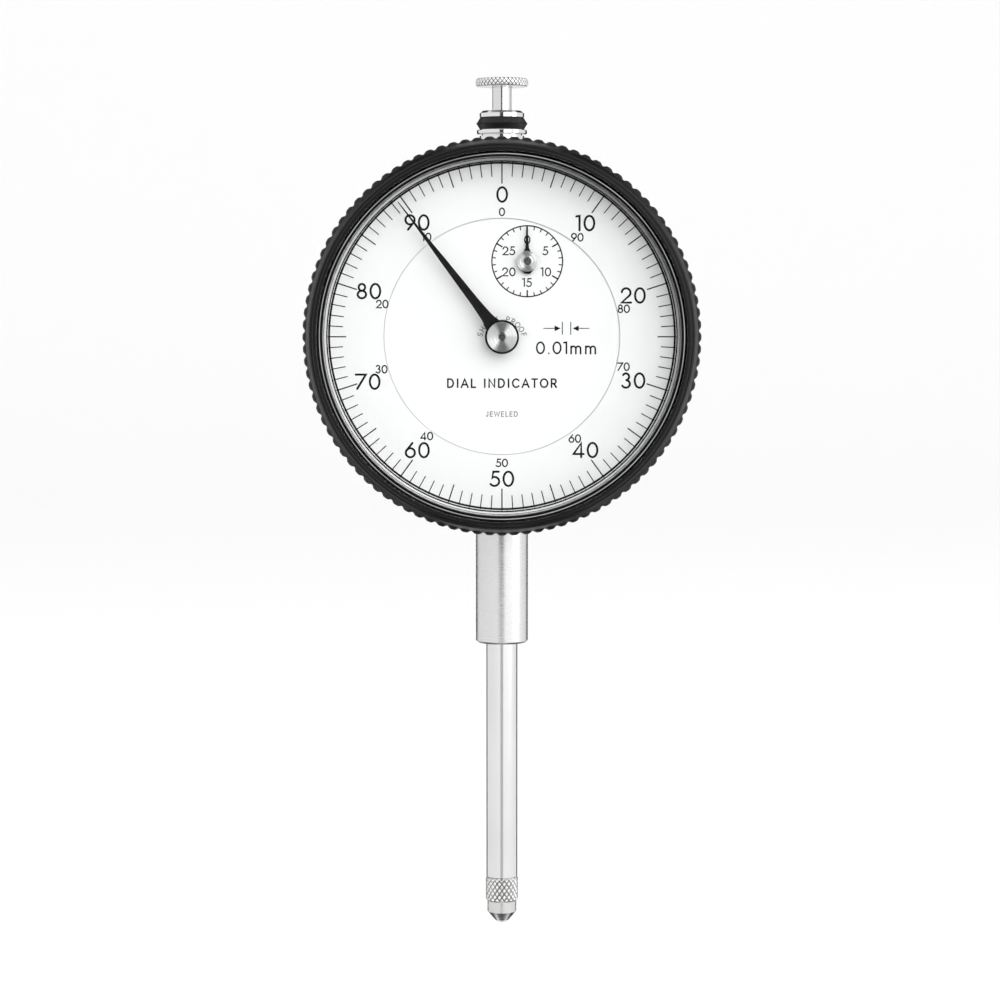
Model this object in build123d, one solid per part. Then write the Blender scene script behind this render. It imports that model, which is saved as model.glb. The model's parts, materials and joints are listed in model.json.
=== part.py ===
from build123d import *
import math
import os

# Dial indicator, 30 mm travel, 0.01 mm graduation, 1 mm per pointer turn, centre lug back.
#
# Everything is in millimetres. +Z runs up the spindle axis, +X is to the right of the dial and
# -Y is towards the reader. The origin is the middle of the stem's clamping length, on its axis.
#
# Most pieces are drawn in the dial frame: its origin is the dial's centre on the spindle axis,
# x is to the right, y is up and z is the height above the spindle axis towards the reader.

# Driving dimensions of the outside
STEM_BOTTOM = -9.4
DIAL_HEIGHT = 37.6
STEM_R = 4.0
STEM_SEAT_R = 3.8
SPINDLE_R = 2.4
ROD_R = 1.45
BEZEL_R = 29.5
BEZEL_SERRATIONS = 100
SERRATION_DEPTH = 0.32
SERRATION_CREST_DROP = 0.12
SERRATION_CREST_SHARE = 0.22
SERRATION_FLANK_SHARE = 0.12
CASE_R = 27.0
CASE_INNER_R = 24.8
CASE_BACK = -5.6
CASE_FRONT = 7.6
COVER_BACK = -7.6

# Heights along the spindle axis, measured from the dial's centre
STEM_LOW = STEM_BOTTOM - DIAL_HEIGHT
CONTACT_SHOULDER = -83.5
CONTACT_LENGTH = 7.3
STEM_SHOULDER = -28.6
STEM_TOP = -23.6
BUSH_SEAT = 24.0
BUSH_TOP = 33.95
SEAL_GROOVE_R = 2.05
KNOB_LOW = 37.6
KNOB_HIGH = 38.85
KNOB_R = 4.0
KNOB_SCREW_R = 0.9
KNOB_EDGE = 0.2
KNOB_SWELL = 0.06
TRAVEL = 30.5

# Gear train: one pointer turn per millimetre, one counter turn per 30 mm
RACK_PITCH = 0.625
RACK_MODULE = RACK_PITCH / math.pi
RACK_PINION_TEETH = 16
DRIVE_TEETH = 100
CENTRE_TEETH = 10
IDLER_TEETH = 60
IDLER_PINION_TEETH = 12
COUNTER_TEETH = 60
MODULE = 0.175
TOOTH_THINNING = 0.03
PRESSURE_ANGLE = math.radians(20)
ADDENDUM = 1.0
DEDENDUM = 1.25

# Heights of the movement's layers above the spindle axis: low face, high face
BRIDGE_LAYER = (-3.8, -2.8)
REAR_PLATE_LAYER = (2.9, 4.1)
DRIVE_LAYER = (4.4, 5.0)
TAKEUP_LAYER = (5.5, 6.1)
IDLER_LAYER = (6.6, 7.2)
FRONT_PLATE_LAYER = (7.9, 9.1)
CENTRE_DIAL_LAYER = (10.0, 10.4)
DIAL_RING_LAYER = (10.2, 10.6)

# Arbors, jewels and small fits
PIVOT_R = 0.25
JEWEL_R = 0.8
FIT = 0.02
PIVOT_GAP = 0.1
THROUGH_R = 0.45
RACK_PINION_LAYER = (-1.8, 1.8)
CENTRE_PINION_LAYER = (4.25, 7.5)
IDLER_PINION_LAYER = (5.3, 6.3)
DRIVE_ARBOR_R = 0.55
REAR_PIVOT = (REAR_PLATE_LAYER[0] + PIVOT_GAP, REAR_PLATE_LAYER[1] + PIVOT_GAP)
FRONT_PIVOT = (FRONT_PLATE_LAYER[0] - PIVOT_GAP, FRONT_PLATE_LAYER[1] - PIVOT_GAP)

# Arbor centres in the dial frame
CENTRE_DISTANCE = (DRIVE_TEETH + CENTRE_TEETH) * MODULE / 2
RACK_PINION_R = RACK_PINION_TEETH * RACK_MODULE / 2
DRIVE_X = -3.7
DRIVE_AT = (DRIVE_X, -math.sqrt(CENTRE_DISTANCE**2 - DRIVE_X**2))
TAKEUP_ANGLE = math.radians(-20)
TAKEUP_AT = (
    CENTRE_DISTANCE * math.cos(TAKEUP_ANGLE),
    CENTRE_DISTANCE * math.sin(TAKEUP_ANGLE),
)
COUNTER_AT = (3.75, 11.17)
BRIDGE_SCREW_AT = (-8.6, DRIVE_AT[1])

# Rack on the spindle's side
RACK_LINE_X = DRIVE_X + RACK_PINION_R
RACK_TIP_X = RACK_LINE_X - ADDENDUM * RACK_MODULE
RACK_ROOT_X = RACK_LINE_X + DEDENDUM * RACK_MODULE
RACK_TOP = DRIVE_AT[1] + 1.3
RACK_TEETH = math.ceil((TRAVEL + 2.6) / RACK_PITCH)
SPINDLE_SHOULDER = -7.0

# Hairspring and its collet
HAIRSPRING_LAYER = (6.7, 7.1)
HAIRSPRING_TURNS = 6
HAIRSPRING_PITCH = 0.56
HAIRSPRING_START_R = 1.0
HAIRSPRING_THICKNESS = 0.08
COLLET_R = 0.95
COLLET_LAYER = (6.5, 7.3)
STUD_R = 0.35

# Wheels: rim, arms and the hubs' radius and top
RIM_WIDTH = 1.0
HUB_MARGIN = 0.7
WHEEL_ARM_HALF_WIDTH = 0.55
DRIVE_HUB = (1.4, 5.6)
TAKEUP_HUB = (1.2, 6.4)
IDLER_HUB = (1.0, 7.5)
COUNTER_HUB = (1.0, 6.5)

# Caps on the two pointers' hubs
CAP_BORE_R = 0.48
CAP_EDGE = 0.1
POINTER_CAP_R = 2.23
POINTER_CAP_LOW = 12.5
POINTER_CAP_HIGH = 13.05
COUNTER_CAP_R = 1.53
COUNTER_CAP_LOW = 11.0
COUNTER_CAP_HIGH = 11.45

# Case neck, bosses and stem seats
EDGE_BREAK = 0.3
NECK_R = 26.2
NECK_FRONT = 9.75
SNAP_GROOVE_R = 25.8
SNAP_GROOVE = (8.5, 9.1)
STEM_BOSS_R = 5.5
STEM_BORE_R = 2.75
STEM_BUSH_R = 3.2
STEM_BUSH_TOP = -41.2
BUSH_BOSS_R = 4.7
BUSH_SHANK_R = 2.6
BUSH_SHOULDER = 27.6

# Upper bushing above the case: radius, height from the dial's centre
BUSHING_PROFILE = (
    (3.4, BUSH_SHOULDER),
    (3.4, 29.35),
    (3.2, 29.5),
    (3.4, 29.65),
    (3.4, 30.2),
    (3.1, 30.25),
    (3.1, 30.4),
    (3.7, 30.4),
    (3.83, 30.55),
    (3.83, 31.0),
    (3.75, 31.1),
    (SEAL_GROOVE_R, 31.1),
    (SEAL_GROOVE_R, 33.0),
    (3.4, 33.0),
    (3.4, 33.6),
    (3.05, BUSH_TOP),
)

# Seal ring in the bushing's groove
SEAL_RING_LAYER = (31.12, 32.98)
SEAL_RING_BORE_R = 2.06
SEAL_RING_FACE_R = 3.3
SEAL_RING_R = 3.92
SEAL_RING_BLUNT = 0.1

# Back cover and lug
COVER_GASKET = 0.2
LUG_SCREW_Y = 9.0
LUG_SCREW_R = 1.0
LUG_SCREW_HEAD_R = 1.8
LUG_HALF_THICKNESS = 2.5
LUG_HOLE_R = 3.25
LUG_HOLE_DEPTH = -15.6
LUG_END_R = 7.0
LUG_FOOT_HALF_WIDTH = 4.5
LUG_FOOT_HALF_HEIGHT = 12.0
LUG_FOOT_THICKNESS = 1.6
LUG_FOOT_CORNER_R = 3.0
COVER_CHAMFER = 0.6
COVER_LIP_RADII = (CASE_INNER_R - 1.0, CASE_INNER_R - 0.1)
COVER_LIP_HEIGHT = 0.8
COVER_LIP_GAP = 6.5
BOSS_CLEARANCE = 0.15

# Countersink and its screw: radius, depth below the cover's face
COUNTERSINK_PROFILE = ((0, -0.1), (1.65, -0.1), (1.65, 0.15), (0.9, 0.9), (0, 0.9))
COVER_SCREW_PROFILE = (
    (0, 0.05),
    (1.6, 0.05),
    (1.6, 0.15),
    (0.85, 0.9),
    (0.78, 0.9),
    (0.78, 5.0),
    (0, 5.0),
)
CROSS_HALF_LENGTH = 0.9
CROSS_HALF_WIDTH = 0.17
CROSS_DEPTH = 0.5

# Bezel section: radius, height above the spindle axis
BEZEL_PROFILE = (
    (29.25, 7.8),
    (30.0, 8.5),
    (30.0, 12.9),
    (29.15, 13.7),
    (28.9, 13.75),
    (28.72, 14.35),
    (28.4, 15.1),
    (28.05, 15.6),
    (27.75, 15.8),
    (27.5, 15.8),
    (27.25, 15.55),
    (27.25, 13.9),
    (26.5, 13.9),
    (26.5, 10.2),
    (25.3, 10.2),
    (25.3, 9.95),
    (26.28, 9.95),
    (26.28, 9.2),
    (26.72, 9.2),
    (26.72, 8.4),
    (26.28, 8.4),
    (26.28, 7.8),
)

# Pieces that the bezel holds or runs on
CRYSTAL_R = 27.15
CRYSTAL_LAYER = (14.1, 15.4)
CRYSTAL_EDGE = 0.2
CRYSTAL_SKIRT_RADII = (25.9, 26.4)
CRYSTAL_SEAT = 13.9
GASKET_RADII = (26.55, 27.1)
SNAP_RING_RADII = (25.85, 26.6)
SNAP_RING_LAYER = (8.6, 9.0)
SNAP_RING_HALF_GAP = 2.0
WASHER_RADII = (25.0, 26.1)
WASHER_LAYER = (9.77, 9.92)
DIAL_FEET = ((-12.0, 8.5), (13.0, -7.0))
CENTRE_DIAL_R = 17.5
DIAL_RING_R = 26.35
DIAL_RING_GAP = 0.07
DIAL_HOLE_R = 1.2
COUNTER_HOLE_R = 1.1

# Pointers
POINTER_TOP = 13.05
COUNTER_TOP = 11.5
POINTER_ANGLE = math.radians(90 + 37.64)
POINTER_LAYER = (12.15, 12.35)
POINTER_REACH = 25.1
POINTER_COLLAR_R = 2.53
POINTER_COLLAR_LAYER = (11.95, 12.5)
POINTER_HUB_R = 0.9
POINTER_HUB_LAYER = (11.6, 12.0)
COUNTER_POINTER_HUB_R = 0.8
COUNTER_POINTER_HUB_LOW = 10.6
COUNTER_POINTER_LAYER = (10.85, 11.0)
COUNTER_POINTER_ANGLE = math.radians(90.6)

# Stations along each pointer: reach from its axis, half width
POINTER_STATIONS = (
    (1.5, 1.3),
    (2.6, 1.12),
    (3.1, 0.96),
    (3.8, 0.84),
    (6.5, 0.66),
    (14.6, 0.42),
    (20.0, 0.19),
    (POINTER_REACH, 0.06),
)
COUNTER_POINTER_STATIONS = (
    (-1.87, 0.4),
    (-1.2, 1.0),
    (0.9, 1.15),
    (1.45, 0.5),
    (2.0, 0.26),
    (3.2, 0.19),
    (5.05, 0.1),
)

# Contact point
CONTACT_TIP = CONTACT_SHOULDER - CONTACT_LENGTH
BALL_R = 1.5
GRIP_R = 2.5
GRIP_LOW = CONTACT_SHOULDER - 3.6
CONTACT_PLAIN_R = 2.23
CONTACT_CONE_HEIGHT = 1.85
CONTACT_THREAD_R = 1.1
CONTACT_THREAD_LENGTH = 4.6

# Bosses in the case that carry the rear plate and the back cover
BOSS_ANGLES = (25, 155, 205, 335)
BOSS_CENTRE_R = 22.3
BOSS_R = 2.4
BOSS_HOLE_R = 0.8

# Pillars between the movement's plates
PILLARS = ((-15.5, 7.0), (15.5, 10.0), (9.0, -17.0), (-14.5, -14.0))
PILLAR_R = 1.5
PILLAR_HOLE_R = 0.6
PILLAR_TAPPED_DEPTH = 2.5

# Openings and screws of the movement's plates
DRIVE_CLEARANCE_R = 1.2
PLATE_SCREW_HOLE_R = 0.9
REAR_WINDOW_ANGLES = (94, 184, 274)
REAR_WINDOW_CENTRE_R = 19.0
REAR_WINDOW_R = 3.0
STEM_NOTCH_HALF_WIDTH = 6.0
BUSH_NOTCH_HALF_WIDTH = 5.0
FRONT_PLATE_R = 20.5
FRONT_WINDOWS = (((-9.5, 14.0), 3.5), ((-13.5, -3.0), 3.0), ((12.0, -12.0), 3.0))
DIAL_FOOT_R = 0.5
COCK_REACH = (-10.4, -2.75)
COCK_LEG = (-10.4, -6.8)
COCK_HALF_HEIGHT = 1.6
COCK_CORNER_R = 0.7
BRIDGE_SCREW_R = 0.44
BRIDGE_SCREW_HOLE_R = 0.5
BRIDGE_SCREW_HEAD_R = 0.85
BRIDGE_SCREW_HEAD = 0.25
BRIDGE_SCREW_LENGTH = 4.0
PLATE_SCREW_R = 0.39
PLATE_SCREW_HEAD_R = 1.1
PLATE_SCREW_HEAD = 0.6
PLATE_SCREW_LENGTH = 3.4
MOVEMENT_SCREW_HEAD_R = 1.5
MOVEMENT_SCREW_HEAD = 0.8
MOVEMENT_SCREW_LENGTH = 4.0

# Guide that keeps the spindle from turning and stops it at both ends
GUIDE_X = 5.4
GUIDE_PIN_R = 0.6
ARM_Z = -9.5
ARM_HALF_HEIGHT = 1.25
ARM_INNER_X = 1.5
ARM_END_MARGIN = 0.6
ARM_Y = (-1.6, 2.2)
ARM_TONGUE_FROM = 1.4
ARM_TONGUE_HALF = 0.55
ARM_SCREW_R = 0.39
ARM_SCREW_LENGTH = 3.6
GUIDE_PIN_LENGTH = 6.0
RAIL_HALF_WIDTH = 1.5
RAIL_BELOW = 3.0
RAIL_ABOVE = 1.4
RAIL_SLOT_DEPTH = 1.8
POST_HALF_WIDTH = 0.9
SPRING_EYE_R = 0.3
SPRING_X = 8.8
SPRING_DEPTH = -0.6
SPRING_LOW = -19.5
SPRING_R = 1.3
SPRING_WIRE_R = 0.15
SPRING_TURNS = 18
RAIL_Y = (3.0, 0.2 - CASE_BACK)

FRONT = Plane(origin=(0, 0, DIAL_HEIGHT), x_dir=(1, 0, 0), z_dir=(0, -1, 0))
AXIS_UP = Pos(0, 0, DIAL_HEIGHT)


def polar(radius, angle):
    """Point at a radius and an angle in radians."""
    return (radius * math.cos(angle), radius * math.sin(angle))


def disc(radius, low, high, at=(0, 0)):
    """Cylinder along the dial frame's z axis."""
    return Pos(at[0], at[1], low) * Cylinder(
        radius, high - low, align=(Align.CENTER, Align.CENTER, Align.MIN)
    )


def tube(outer, inner, low, high, at=(0, 0)):
    """Ring along the dial frame's z axis."""
    return disc(outer, low, high, at) - disc(inner, low - 1, high + 1, at)


def block(x, y, z):
    """Box between the low and high values of each axis."""
    centre = Pos((x[0] + x[1]) / 2, (y[0] + y[1]) / 2, (z[0] + z[1]) / 2)
    return centre * Box(x[1] - x[0], y[1] - y[0], z[1] - z[0])


def turned_about_z(points):
    """Solid turned about the z axis from a closed outline of (radius, height) points."""
    face = make_face(Plane.XZ * Polyline(*points, close=True))
    return revolve(face, Axis.Z)


def turned_about_spindle(points):
    """Solid turned about the spindle axis, with heights measured from the dial's centre."""
    return AXIS_UP * turned_about_z(points)


def hole_about_spindle(radius, low, high):
    """Cutter for a round hole along the spindle axis, between heights from the dial's centre."""
    return turned_about_spindle([(0, low), (radius, low), (radius, high), (0, high)])


def pivot_centre_of_idler():
    """Centre of the idler, which meshes with the centre pinion and with the counter wheel."""
    to_centre = (CENTRE_TEETH + IDLER_TEETH) * MODULE / 2
    to_counter = (IDLER_PINION_TEETH + COUNTER_TEETH) * MODULE / 2
    span = math.hypot(*COUNTER_AT)
    along = (to_centre**2 - to_counter**2 + span**2) / (2 * span)
    across = math.sqrt(to_centre**2 - along**2)
    ux, uy = COUNTER_AT[0] / span, COUNTER_AT[1] / span
    return (along * ux - across * uy, along * uy + across * ux)


IDLER_AT = pivot_centre_of_idler()


def direction(start, end):
    """Angle of the line from one point to another."""
    return math.atan2(end[1] - start[1], end[0] - start[0])


def meshing_phase(phase, teeth, other_teeth, angle):
    """Angle of a tooth of a second gear that meshes with a first gear.

    phase is the angle of one of the first gear's teeth and angle the direction from the first
    gear's centre to the second gear's centre.
    """
    offset = phase - angle
    gap = angle + math.pi - offset * teeth / other_teeth
    return gap + math.pi / other_teeth


def involute(angle):
    return math.tan(angle) - angle


def gear_face(teeth, module, phase):
    """Face of an involute gear with one tooth centred at the phase angle."""
    pitch_r = teeth * module / 2
    base_r = pitch_r * math.cos(PRESSURE_ANGLE)
    tip_r = pitch_r + ADDENDUM * module
    root_r = pitch_r - DEDENDUM * module
    start_r = max(base_r, root_r)
    half_tooth = math.pi / (2 * teeth) - TOOTH_THINNING / (2 * pitch_r)

    def half_angle(radius):
        flank = math.acos(min(1.0, base_r / radius))
        return half_tooth + involute(PRESSURE_ANGLE) - involute(flank)

    steps = 4 if root_r < base_r else 2
    radii = [start_r + (tip_r - start_r) * i / steps for i in range(steps + 1)]
    if root_r < base_r:
        radii.insert(0, root_r)
    flank = [(r, half_angle(max(r, start_r))) for r in radii]
    points = []
    for tooth in range(teeth):
        middle = phase + 2 * math.pi * tooth / teeth
        points += [polar(r, middle - half) for r, half in flank]
        points += [polar(r, middle + half) for r, half in reversed(flank)]
    return make_face(Polyline(*points, close=True))


def gear(teeth, module, phase, layer, at=(0, 0)):
    """Solid gear between the two heights of a layer."""
    body = extrude(gear_face(teeth, module, phase), layer[1] - layer[0])
    return Pos(at[0], at[1], layer[0]) * body


def crossed_out(radius_out, radius_in, layer, at, arms):
    """Cutter for the openings between the arms of a gear wheel."""
    ring = tube(radius_out, radius_in, layer[0] - 1, layer[1] + 1, at)
    for i in range(arms):
        arm = block(
            (0, radius_out + 1),
            (-WHEEL_ARM_HALF_WIDTH, WHEEL_ARM_HALF_WIDTH),
            (layer[0] - 1, layer[1] + 1),
        )
        ring -= Pos(at[0], at[1], 0) * Rot(0, 0, 360 * i / arms + 10) * arm
    return ring


# Case, cover and lug


def case_body():
    """Cast ring with the bezel's neck, bosses for the plates and bosses for stem and bushing."""
    outline = [
        (CASE_INNER_R, CASE_BACK),
        (CASE_R - EDGE_BREAK, CASE_BACK),
        (CASE_R, CASE_BACK + EDGE_BREAK),
        (CASE_R, CASE_FRONT),
        (NECK_R, CASE_FRONT),
        (NECK_R, SNAP_GROOVE[0]),
        (SNAP_GROOVE_R, SNAP_GROOVE[0]),
        (SNAP_GROOVE_R, SNAP_GROOVE[1]),
        (NECK_R, SNAP_GROOVE[1]),
        (NECK_R, NECK_FRONT),
        (CASE_INNER_R, NECK_FRONT),
    ]
    body = turned_about_z(outline)
    keep = disc(CASE_R - 0.5, CASE_BACK, REAR_PLATE_LAYER[0])
    for angle in BOSS_ANGLES:
        at = polar(BOSS_CENTRE_R, math.radians(angle))
        boss = disc(BOSS_R, CASE_BACK, REAR_PLATE_LAYER[0], at)
        outward = polar(BOSS_CENTRE_R + BOSS_R, math.radians(angle))
        boss += disc(BOSS_R, CASE_BACK, REAR_PLATE_LAYER[0], outward) & keep
        body += boss & keep
    for angle in BOSS_ANGLES:
        at = polar(BOSS_CENTRE_R, math.radians(angle))
        body -= disc(BOSS_HOLE_R, CASE_BACK - 1, REAR_PLATE_LAYER[0] + 1, at)
    body = FRONT * body
    stem_boss = turned_about_spindle(
        [
            (0, STEM_SHOULDER),
            (STEM_BOSS_R - EDGE_BREAK, STEM_SHOULDER),
            (STEM_BOSS_R, STEM_SHOULDER + EDGE_BREAK),
            (STEM_BOSS_R, STEM_TOP),
            (0, STEM_TOP),
        ]
    )
    bush_boss = turned_about_spindle(
        [
            (0, BUSH_SEAT),
            (BUSH_BOSS_R, BUSH_SEAT),
            (BUSH_BOSS_R, BUSH_SHOULDER - 0.2),
            (BUSH_BOSS_R - 0.2, BUSH_SHOULDER),
            (0, BUSH_SHOULDER),
        ]
    )
    body += stem_boss + bush_boss
    body -= hole_about_spindle(STEM_SEAT_R, STEM_SHOULDER - 1, STEM_TOP + 3)
    body -= hole_about_spindle(BUSH_SHANK_R, BUSH_SEAT - 4, BUSH_SHOULDER + 2)
    return body


def stem():
    """Clamping stem: a ground tube with a seat for the guide bush, stepped down into the case."""
    return turned_about_spindle(
        [
            (STEM_BUSH_R, STEM_LOW),
            (STEM_R - EDGE_BREAK, STEM_LOW),
            (STEM_R, STEM_LOW + EDGE_BREAK),
            (STEM_R, STEM_SHOULDER),
            (STEM_SEAT_R, STEM_SHOULDER),
            (STEM_SEAT_R, STEM_TOP),
            (STEM_BORE_R, STEM_TOP),
            (STEM_BORE_R, STEM_BUSH_TOP),
            (STEM_BUSH_R, STEM_BUSH_TOP),
        ]
    )


def stem_bush():
    """Bronze guide bush at the stem's lower end."""
    low, high = STEM_LOW + 0.2, STEM_BUSH_TOP
    bore_r = SPINDLE_R + FIT
    outline = [(bore_r, low), (STEM_BUSH_R, low), (STEM_BUSH_R, high), (bore_r, high)]
    return turned_about_spindle(outline)


def upper_bushing():
    """Turned bushing on top of the case, with the seal ring's groove and two collars."""
    bore_r = ROD_R + FIT
    return turned_about_spindle(
        [
            (bore_r, BUSH_SEAT),
            (BUSH_SHANK_R, BUSH_SEAT),
            (BUSH_SHANK_R, BUSH_SHOULDER),
            *BUSHING_PROFILE,
            (bore_r, BUSH_TOP),
        ]
    )


def seal_ring():
    """Rubber ring in the upper bushing's groove, with a blunt edge halfway up."""
    low, high = SEAL_RING_LAYER
    middle = (low + high) / 2
    return turned_about_spindle(
        [
            (SEAL_RING_BORE_R, low),
            (SEAL_RING_FACE_R, low),
            (SEAL_RING_R - SEAL_RING_BLUNT, middle - SEAL_RING_BLUNT),
            (SEAL_RING_R, middle),
            (SEAL_RING_R - SEAL_RING_BLUNT, middle + SEAL_RING_BLUNT),
            (SEAL_RING_FACE_R, high),
            (SEAL_RING_BORE_R, high),
        ]
    )


def back_cover():
    """Flat cover plate with four countersunk holes and the lug's two holes."""
    top = CASE_BACK - COVER_GASKET
    cover = turned_about_z(
        [
            (0, COVER_BACK),
            (CASE_R - COVER_CHAMFER, COVER_BACK),
            (CASE_R, COVER_BACK + COVER_CHAMFER),
            (CASE_R, top),
            (0, top),
        ]
    )
    cover += disc(COVER_LIP_RADII[1], top, top + COVER_LIP_HEIGHT)
    cover -= disc(COVER_LIP_RADII[0], top, top + 2)
    for angle in BOSS_ANGLES:
        at = polar(BOSS_CENTRE_R, math.radians(angle))
        cover -= disc(BOSS_HOLE_R + 0.1, COVER_BACK - 1, top + 2, at)
        cover -= disc(BOSS_R + BOSS_CLEARANCE, top, top + 2, at)
        outward = polar(BOSS_CENTRE_R + BOSS_R, math.radians(angle))
        cover -= disc(BOSS_R + BOSS_CLEARANCE, top, top + 2, outward)
        cover -= Pos(at[0], at[1], COVER_BACK) * turned_about_z(COUNTERSINK_PROFILE)
    cover -= block((-COVER_LIP_GAP, COVER_LIP_GAP), (-CASE_R, CASE_R), (top, top + 2))
    for side in (-1, 1):
        cover -= disc(LUG_SCREW_R, COVER_BACK - 1, top + 2, (0, side * LUG_SCREW_Y))
    return FRONT * cover


def mounting_lug():
    """Centre lug: a foot on the cover and an ear with a hole along the x axis."""
    foot_back = COVER_BACK - LUG_FOOT_THICKNESS
    foot = block(
        (-LUG_FOOT_HALF_WIDTH, LUG_FOOT_HALF_WIDTH),
        (-LUG_FOOT_HALF_HEIGHT, LUG_FOOT_HALF_HEIGHT),
        (foot_back, COVER_BACK),
    )
    foot = fillet(foot.edges().filter_by(Axis.Z), LUG_FOOT_CORNER_R)
    ear_side = Plane(origin=(-LUG_HALF_THICKNESS, 0, 0), x_dir=(0, 1, 0), z_dir=(1, 0, 0))
    outline = (
        Pos(0, LUG_HOLE_DEPTH) * Circle(LUG_END_R)
        + Pos(0, (LUG_HOLE_DEPTH + COVER_BACK) / 2)
        * Rectangle(2 * LUG_END_R, COVER_BACK - LUG_HOLE_DEPTH)
        - Pos(0, LUG_HOLE_DEPTH) * Circle(LUG_HOLE_R)
    )
    ear = ear_side * extrude(outline, 2 * LUG_HALF_THICKNESS)
    lug = foot + ear
    for side in (-1, 1):
        at = (0, side * LUG_SCREW_Y)
        lug -= disc(LUG_SCREW_R, COVER_BACK - 3, COVER_BACK + 1, at)
        lug -= disc(LUG_SCREW_HEAD_R + 0.1, COVER_BACK - 3, COVER_BACK - 0.9, at)
    return FRONT * lug


def lug_screws():
    """Two cheese-head screws through the lug's foot into the cover."""
    screws = []
    for side in (-1, 1):
        at = (0, side * LUG_SCREW_Y)
        screw = disc(LUG_SCREW_R - FIT, COVER_BACK - 1.0, CASE_BACK - COVER_GASKET, at)
        screw += disc(LUG_SCREW_HEAD_R, COVER_BACK - 2.0, COVER_BACK - 0.9, at)
        slot = block((-2, 2), (at[1] - 0.2, at[1] + 0.2), (COVER_BACK - 3, COVER_BACK - 1.6))
        screws.append(FRONT * (screw - slot))
    return Compound(screws)


def cover_gasket():
    """Thin rubber ring between the case and the cover."""
    return FRONT * tube(CASE_R - 0.4, CASE_INNER_R, CASE_BACK - COVER_GASKET, CASE_BACK)


def cover_screws():
    """Four countersunk screws that hold the back cover to the case's bosses."""
    screws = []
    for angle in BOSS_ANGLES:
        at = polar(BOSS_CENTRE_R, math.radians(angle))
        screw = turned_about_z(COVER_SCREW_PROFILE)
        for turn in (0, 90):
            arm = block(
                (-CROSS_HALF_LENGTH, CROSS_HALF_LENGTH),
                (-CROSS_HALF_WIDTH, CROSS_HALF_WIDTH),
                (-1, CROSS_DEPTH),
            )
            screw -= Rot(0, 0, turn + angle) * arm
        screws.append(FRONT * (Pos(at[0], at[1], COVER_BACK) * screw))
    return Compound(screws)


# Movement plates


def bearing(at, layer):
    """Place and layer of a jewel."""
    return {"at": at, "layer": layer}


REAR_BEARINGS = [bearing(at, REAR_PLATE_LAYER) for at in ((0, 0), TAKEUP_AT, IDLER_AT, COUNTER_AT)]
FRONT_BEARINGS = [bearing(at, FRONT_PLATE_LAYER) for at in (DRIVE_AT, TAKEUP_AT, IDLER_AT)]


def rear_plate():
    """Brass plate behind the wheels, screwed to the case's bosses."""
    low, high = REAR_PLATE_LAYER
    plate = disc(CASE_INNER_R - 0.2, low, high)
    for item in REAR_BEARINGS:
        plate -= disc(JEWEL_R, low - 1, high + 1, item["at"])
    plate -= disc(DRIVE_CLEARANCE_R, low - 1, high + 1, DRIVE_AT)
    for angle in BOSS_ANGLES:
        plate -= disc(PLATE_SCREW_HOLE_R, low - 1, high + 1, polar(BOSS_CENTRE_R, math.radians(angle)))
    for at in PILLARS:
        plate -= disc(PILLAR_HOLE_R, low - 1, high + 1, at)
    for angle in REAR_WINDOW_ANGLES:
        at = polar(REAR_WINDOW_CENTRE_R, math.radians(angle))
        plate -= disc(REAR_WINDOW_R, low - 1, high + 1, at)
    plate -= disc(BRIDGE_SCREW_HOLE_R, low - 1, high + 1, BRIDGE_SCREW_AT)
    stem_notch = (-STEM_NOTCH_HALF_WIDTH, STEM_NOTCH_HALF_WIDTH)
    bush_notch = (-BUSH_NOTCH_HALF_WIDTH, BUSH_NOTCH_HALF_WIDTH)
    plate -= block(stem_notch, (-CASE_R, STEM_TOP + 0.3), (low - 1, high + 1))
    plate -= block(bush_notch, (BUSH_SEAT - 0.3, CASE_R), (low - 1, high + 1))
    return FRONT * plate


def front_plate():
    """Brass plate in front of the wheels, which also carries the centre dial."""
    low, high = FRONT_PLATE_LAYER
    plate = disc(FRONT_PLATE_R, low, high)
    for item in FRONT_BEARINGS:
        plate -= disc(JEWEL_R, low - 1, high + 1, item["at"])
    for at in ((0, 0), COUNTER_AT):
        plate -= disc(THROUGH_R + FIT, low - 1, high + 1, at)
    for at in PILLARS:
        plate -= disc(PILLAR_HOLE_R, low - 1, high + 1, at)
    for at in DIAL_FEET:
        plate -= disc(DIAL_FOOT_R + FIT, low - 1, high + 1, at)
    for at, radius in FRONT_WINDOWS:
        plate -= disc(radius, low - 1, high + 1, at)
    return FRONT * plate


def pinion_bridge():
    """Cock behind the rack pinion that carries the drive arbor's rear pivot."""
    low, high = BRIDGE_LAYER
    y = DRIVE_AT[1]
    height = (y - COCK_HALF_HEIGHT, y + COCK_HALF_HEIGHT)
    cock = block(COCK_REACH, height, (low, high))
    cock = fillet(cock.edges().filter_by(Axis.Z), COCK_CORNER_R)
    cock += block(COCK_LEG, height, (low, REAR_PLATE_LAYER[0]))
    cock -= disc(JEWEL_R, low - 1, high + 1, DRIVE_AT)
    cock -= disc(BRIDGE_SCREW_R + 0.01, low + 2, REAR_PLATE_LAYER[0] + 1, BRIDGE_SCREW_AT)
    return FRONT * cock


def bridge_screw():
    """Screw from the rear plate into the cock."""
    under = REAR_PLATE_LAYER[1]
    top = under + BRIDGE_SCREW_HEAD
    screw = disc(BRIDGE_SCREW_R, REAR_PLATE_LAYER[0] - BRIDGE_SCREW_LENGTH, under, BRIDGE_SCREW_AT)
    x, y = BRIDGE_SCREW_AT
    head = disc(BRIDGE_SCREW_HEAD_R, under, top, BRIDGE_SCREW_AT)
    slot = block((x - 1, x + 1), (y - 0.1, y + 0.1), (under + BRIDGE_SCREW_HEAD / 2, top + 1))
    return FRONT * (screw + head - slot)


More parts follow.
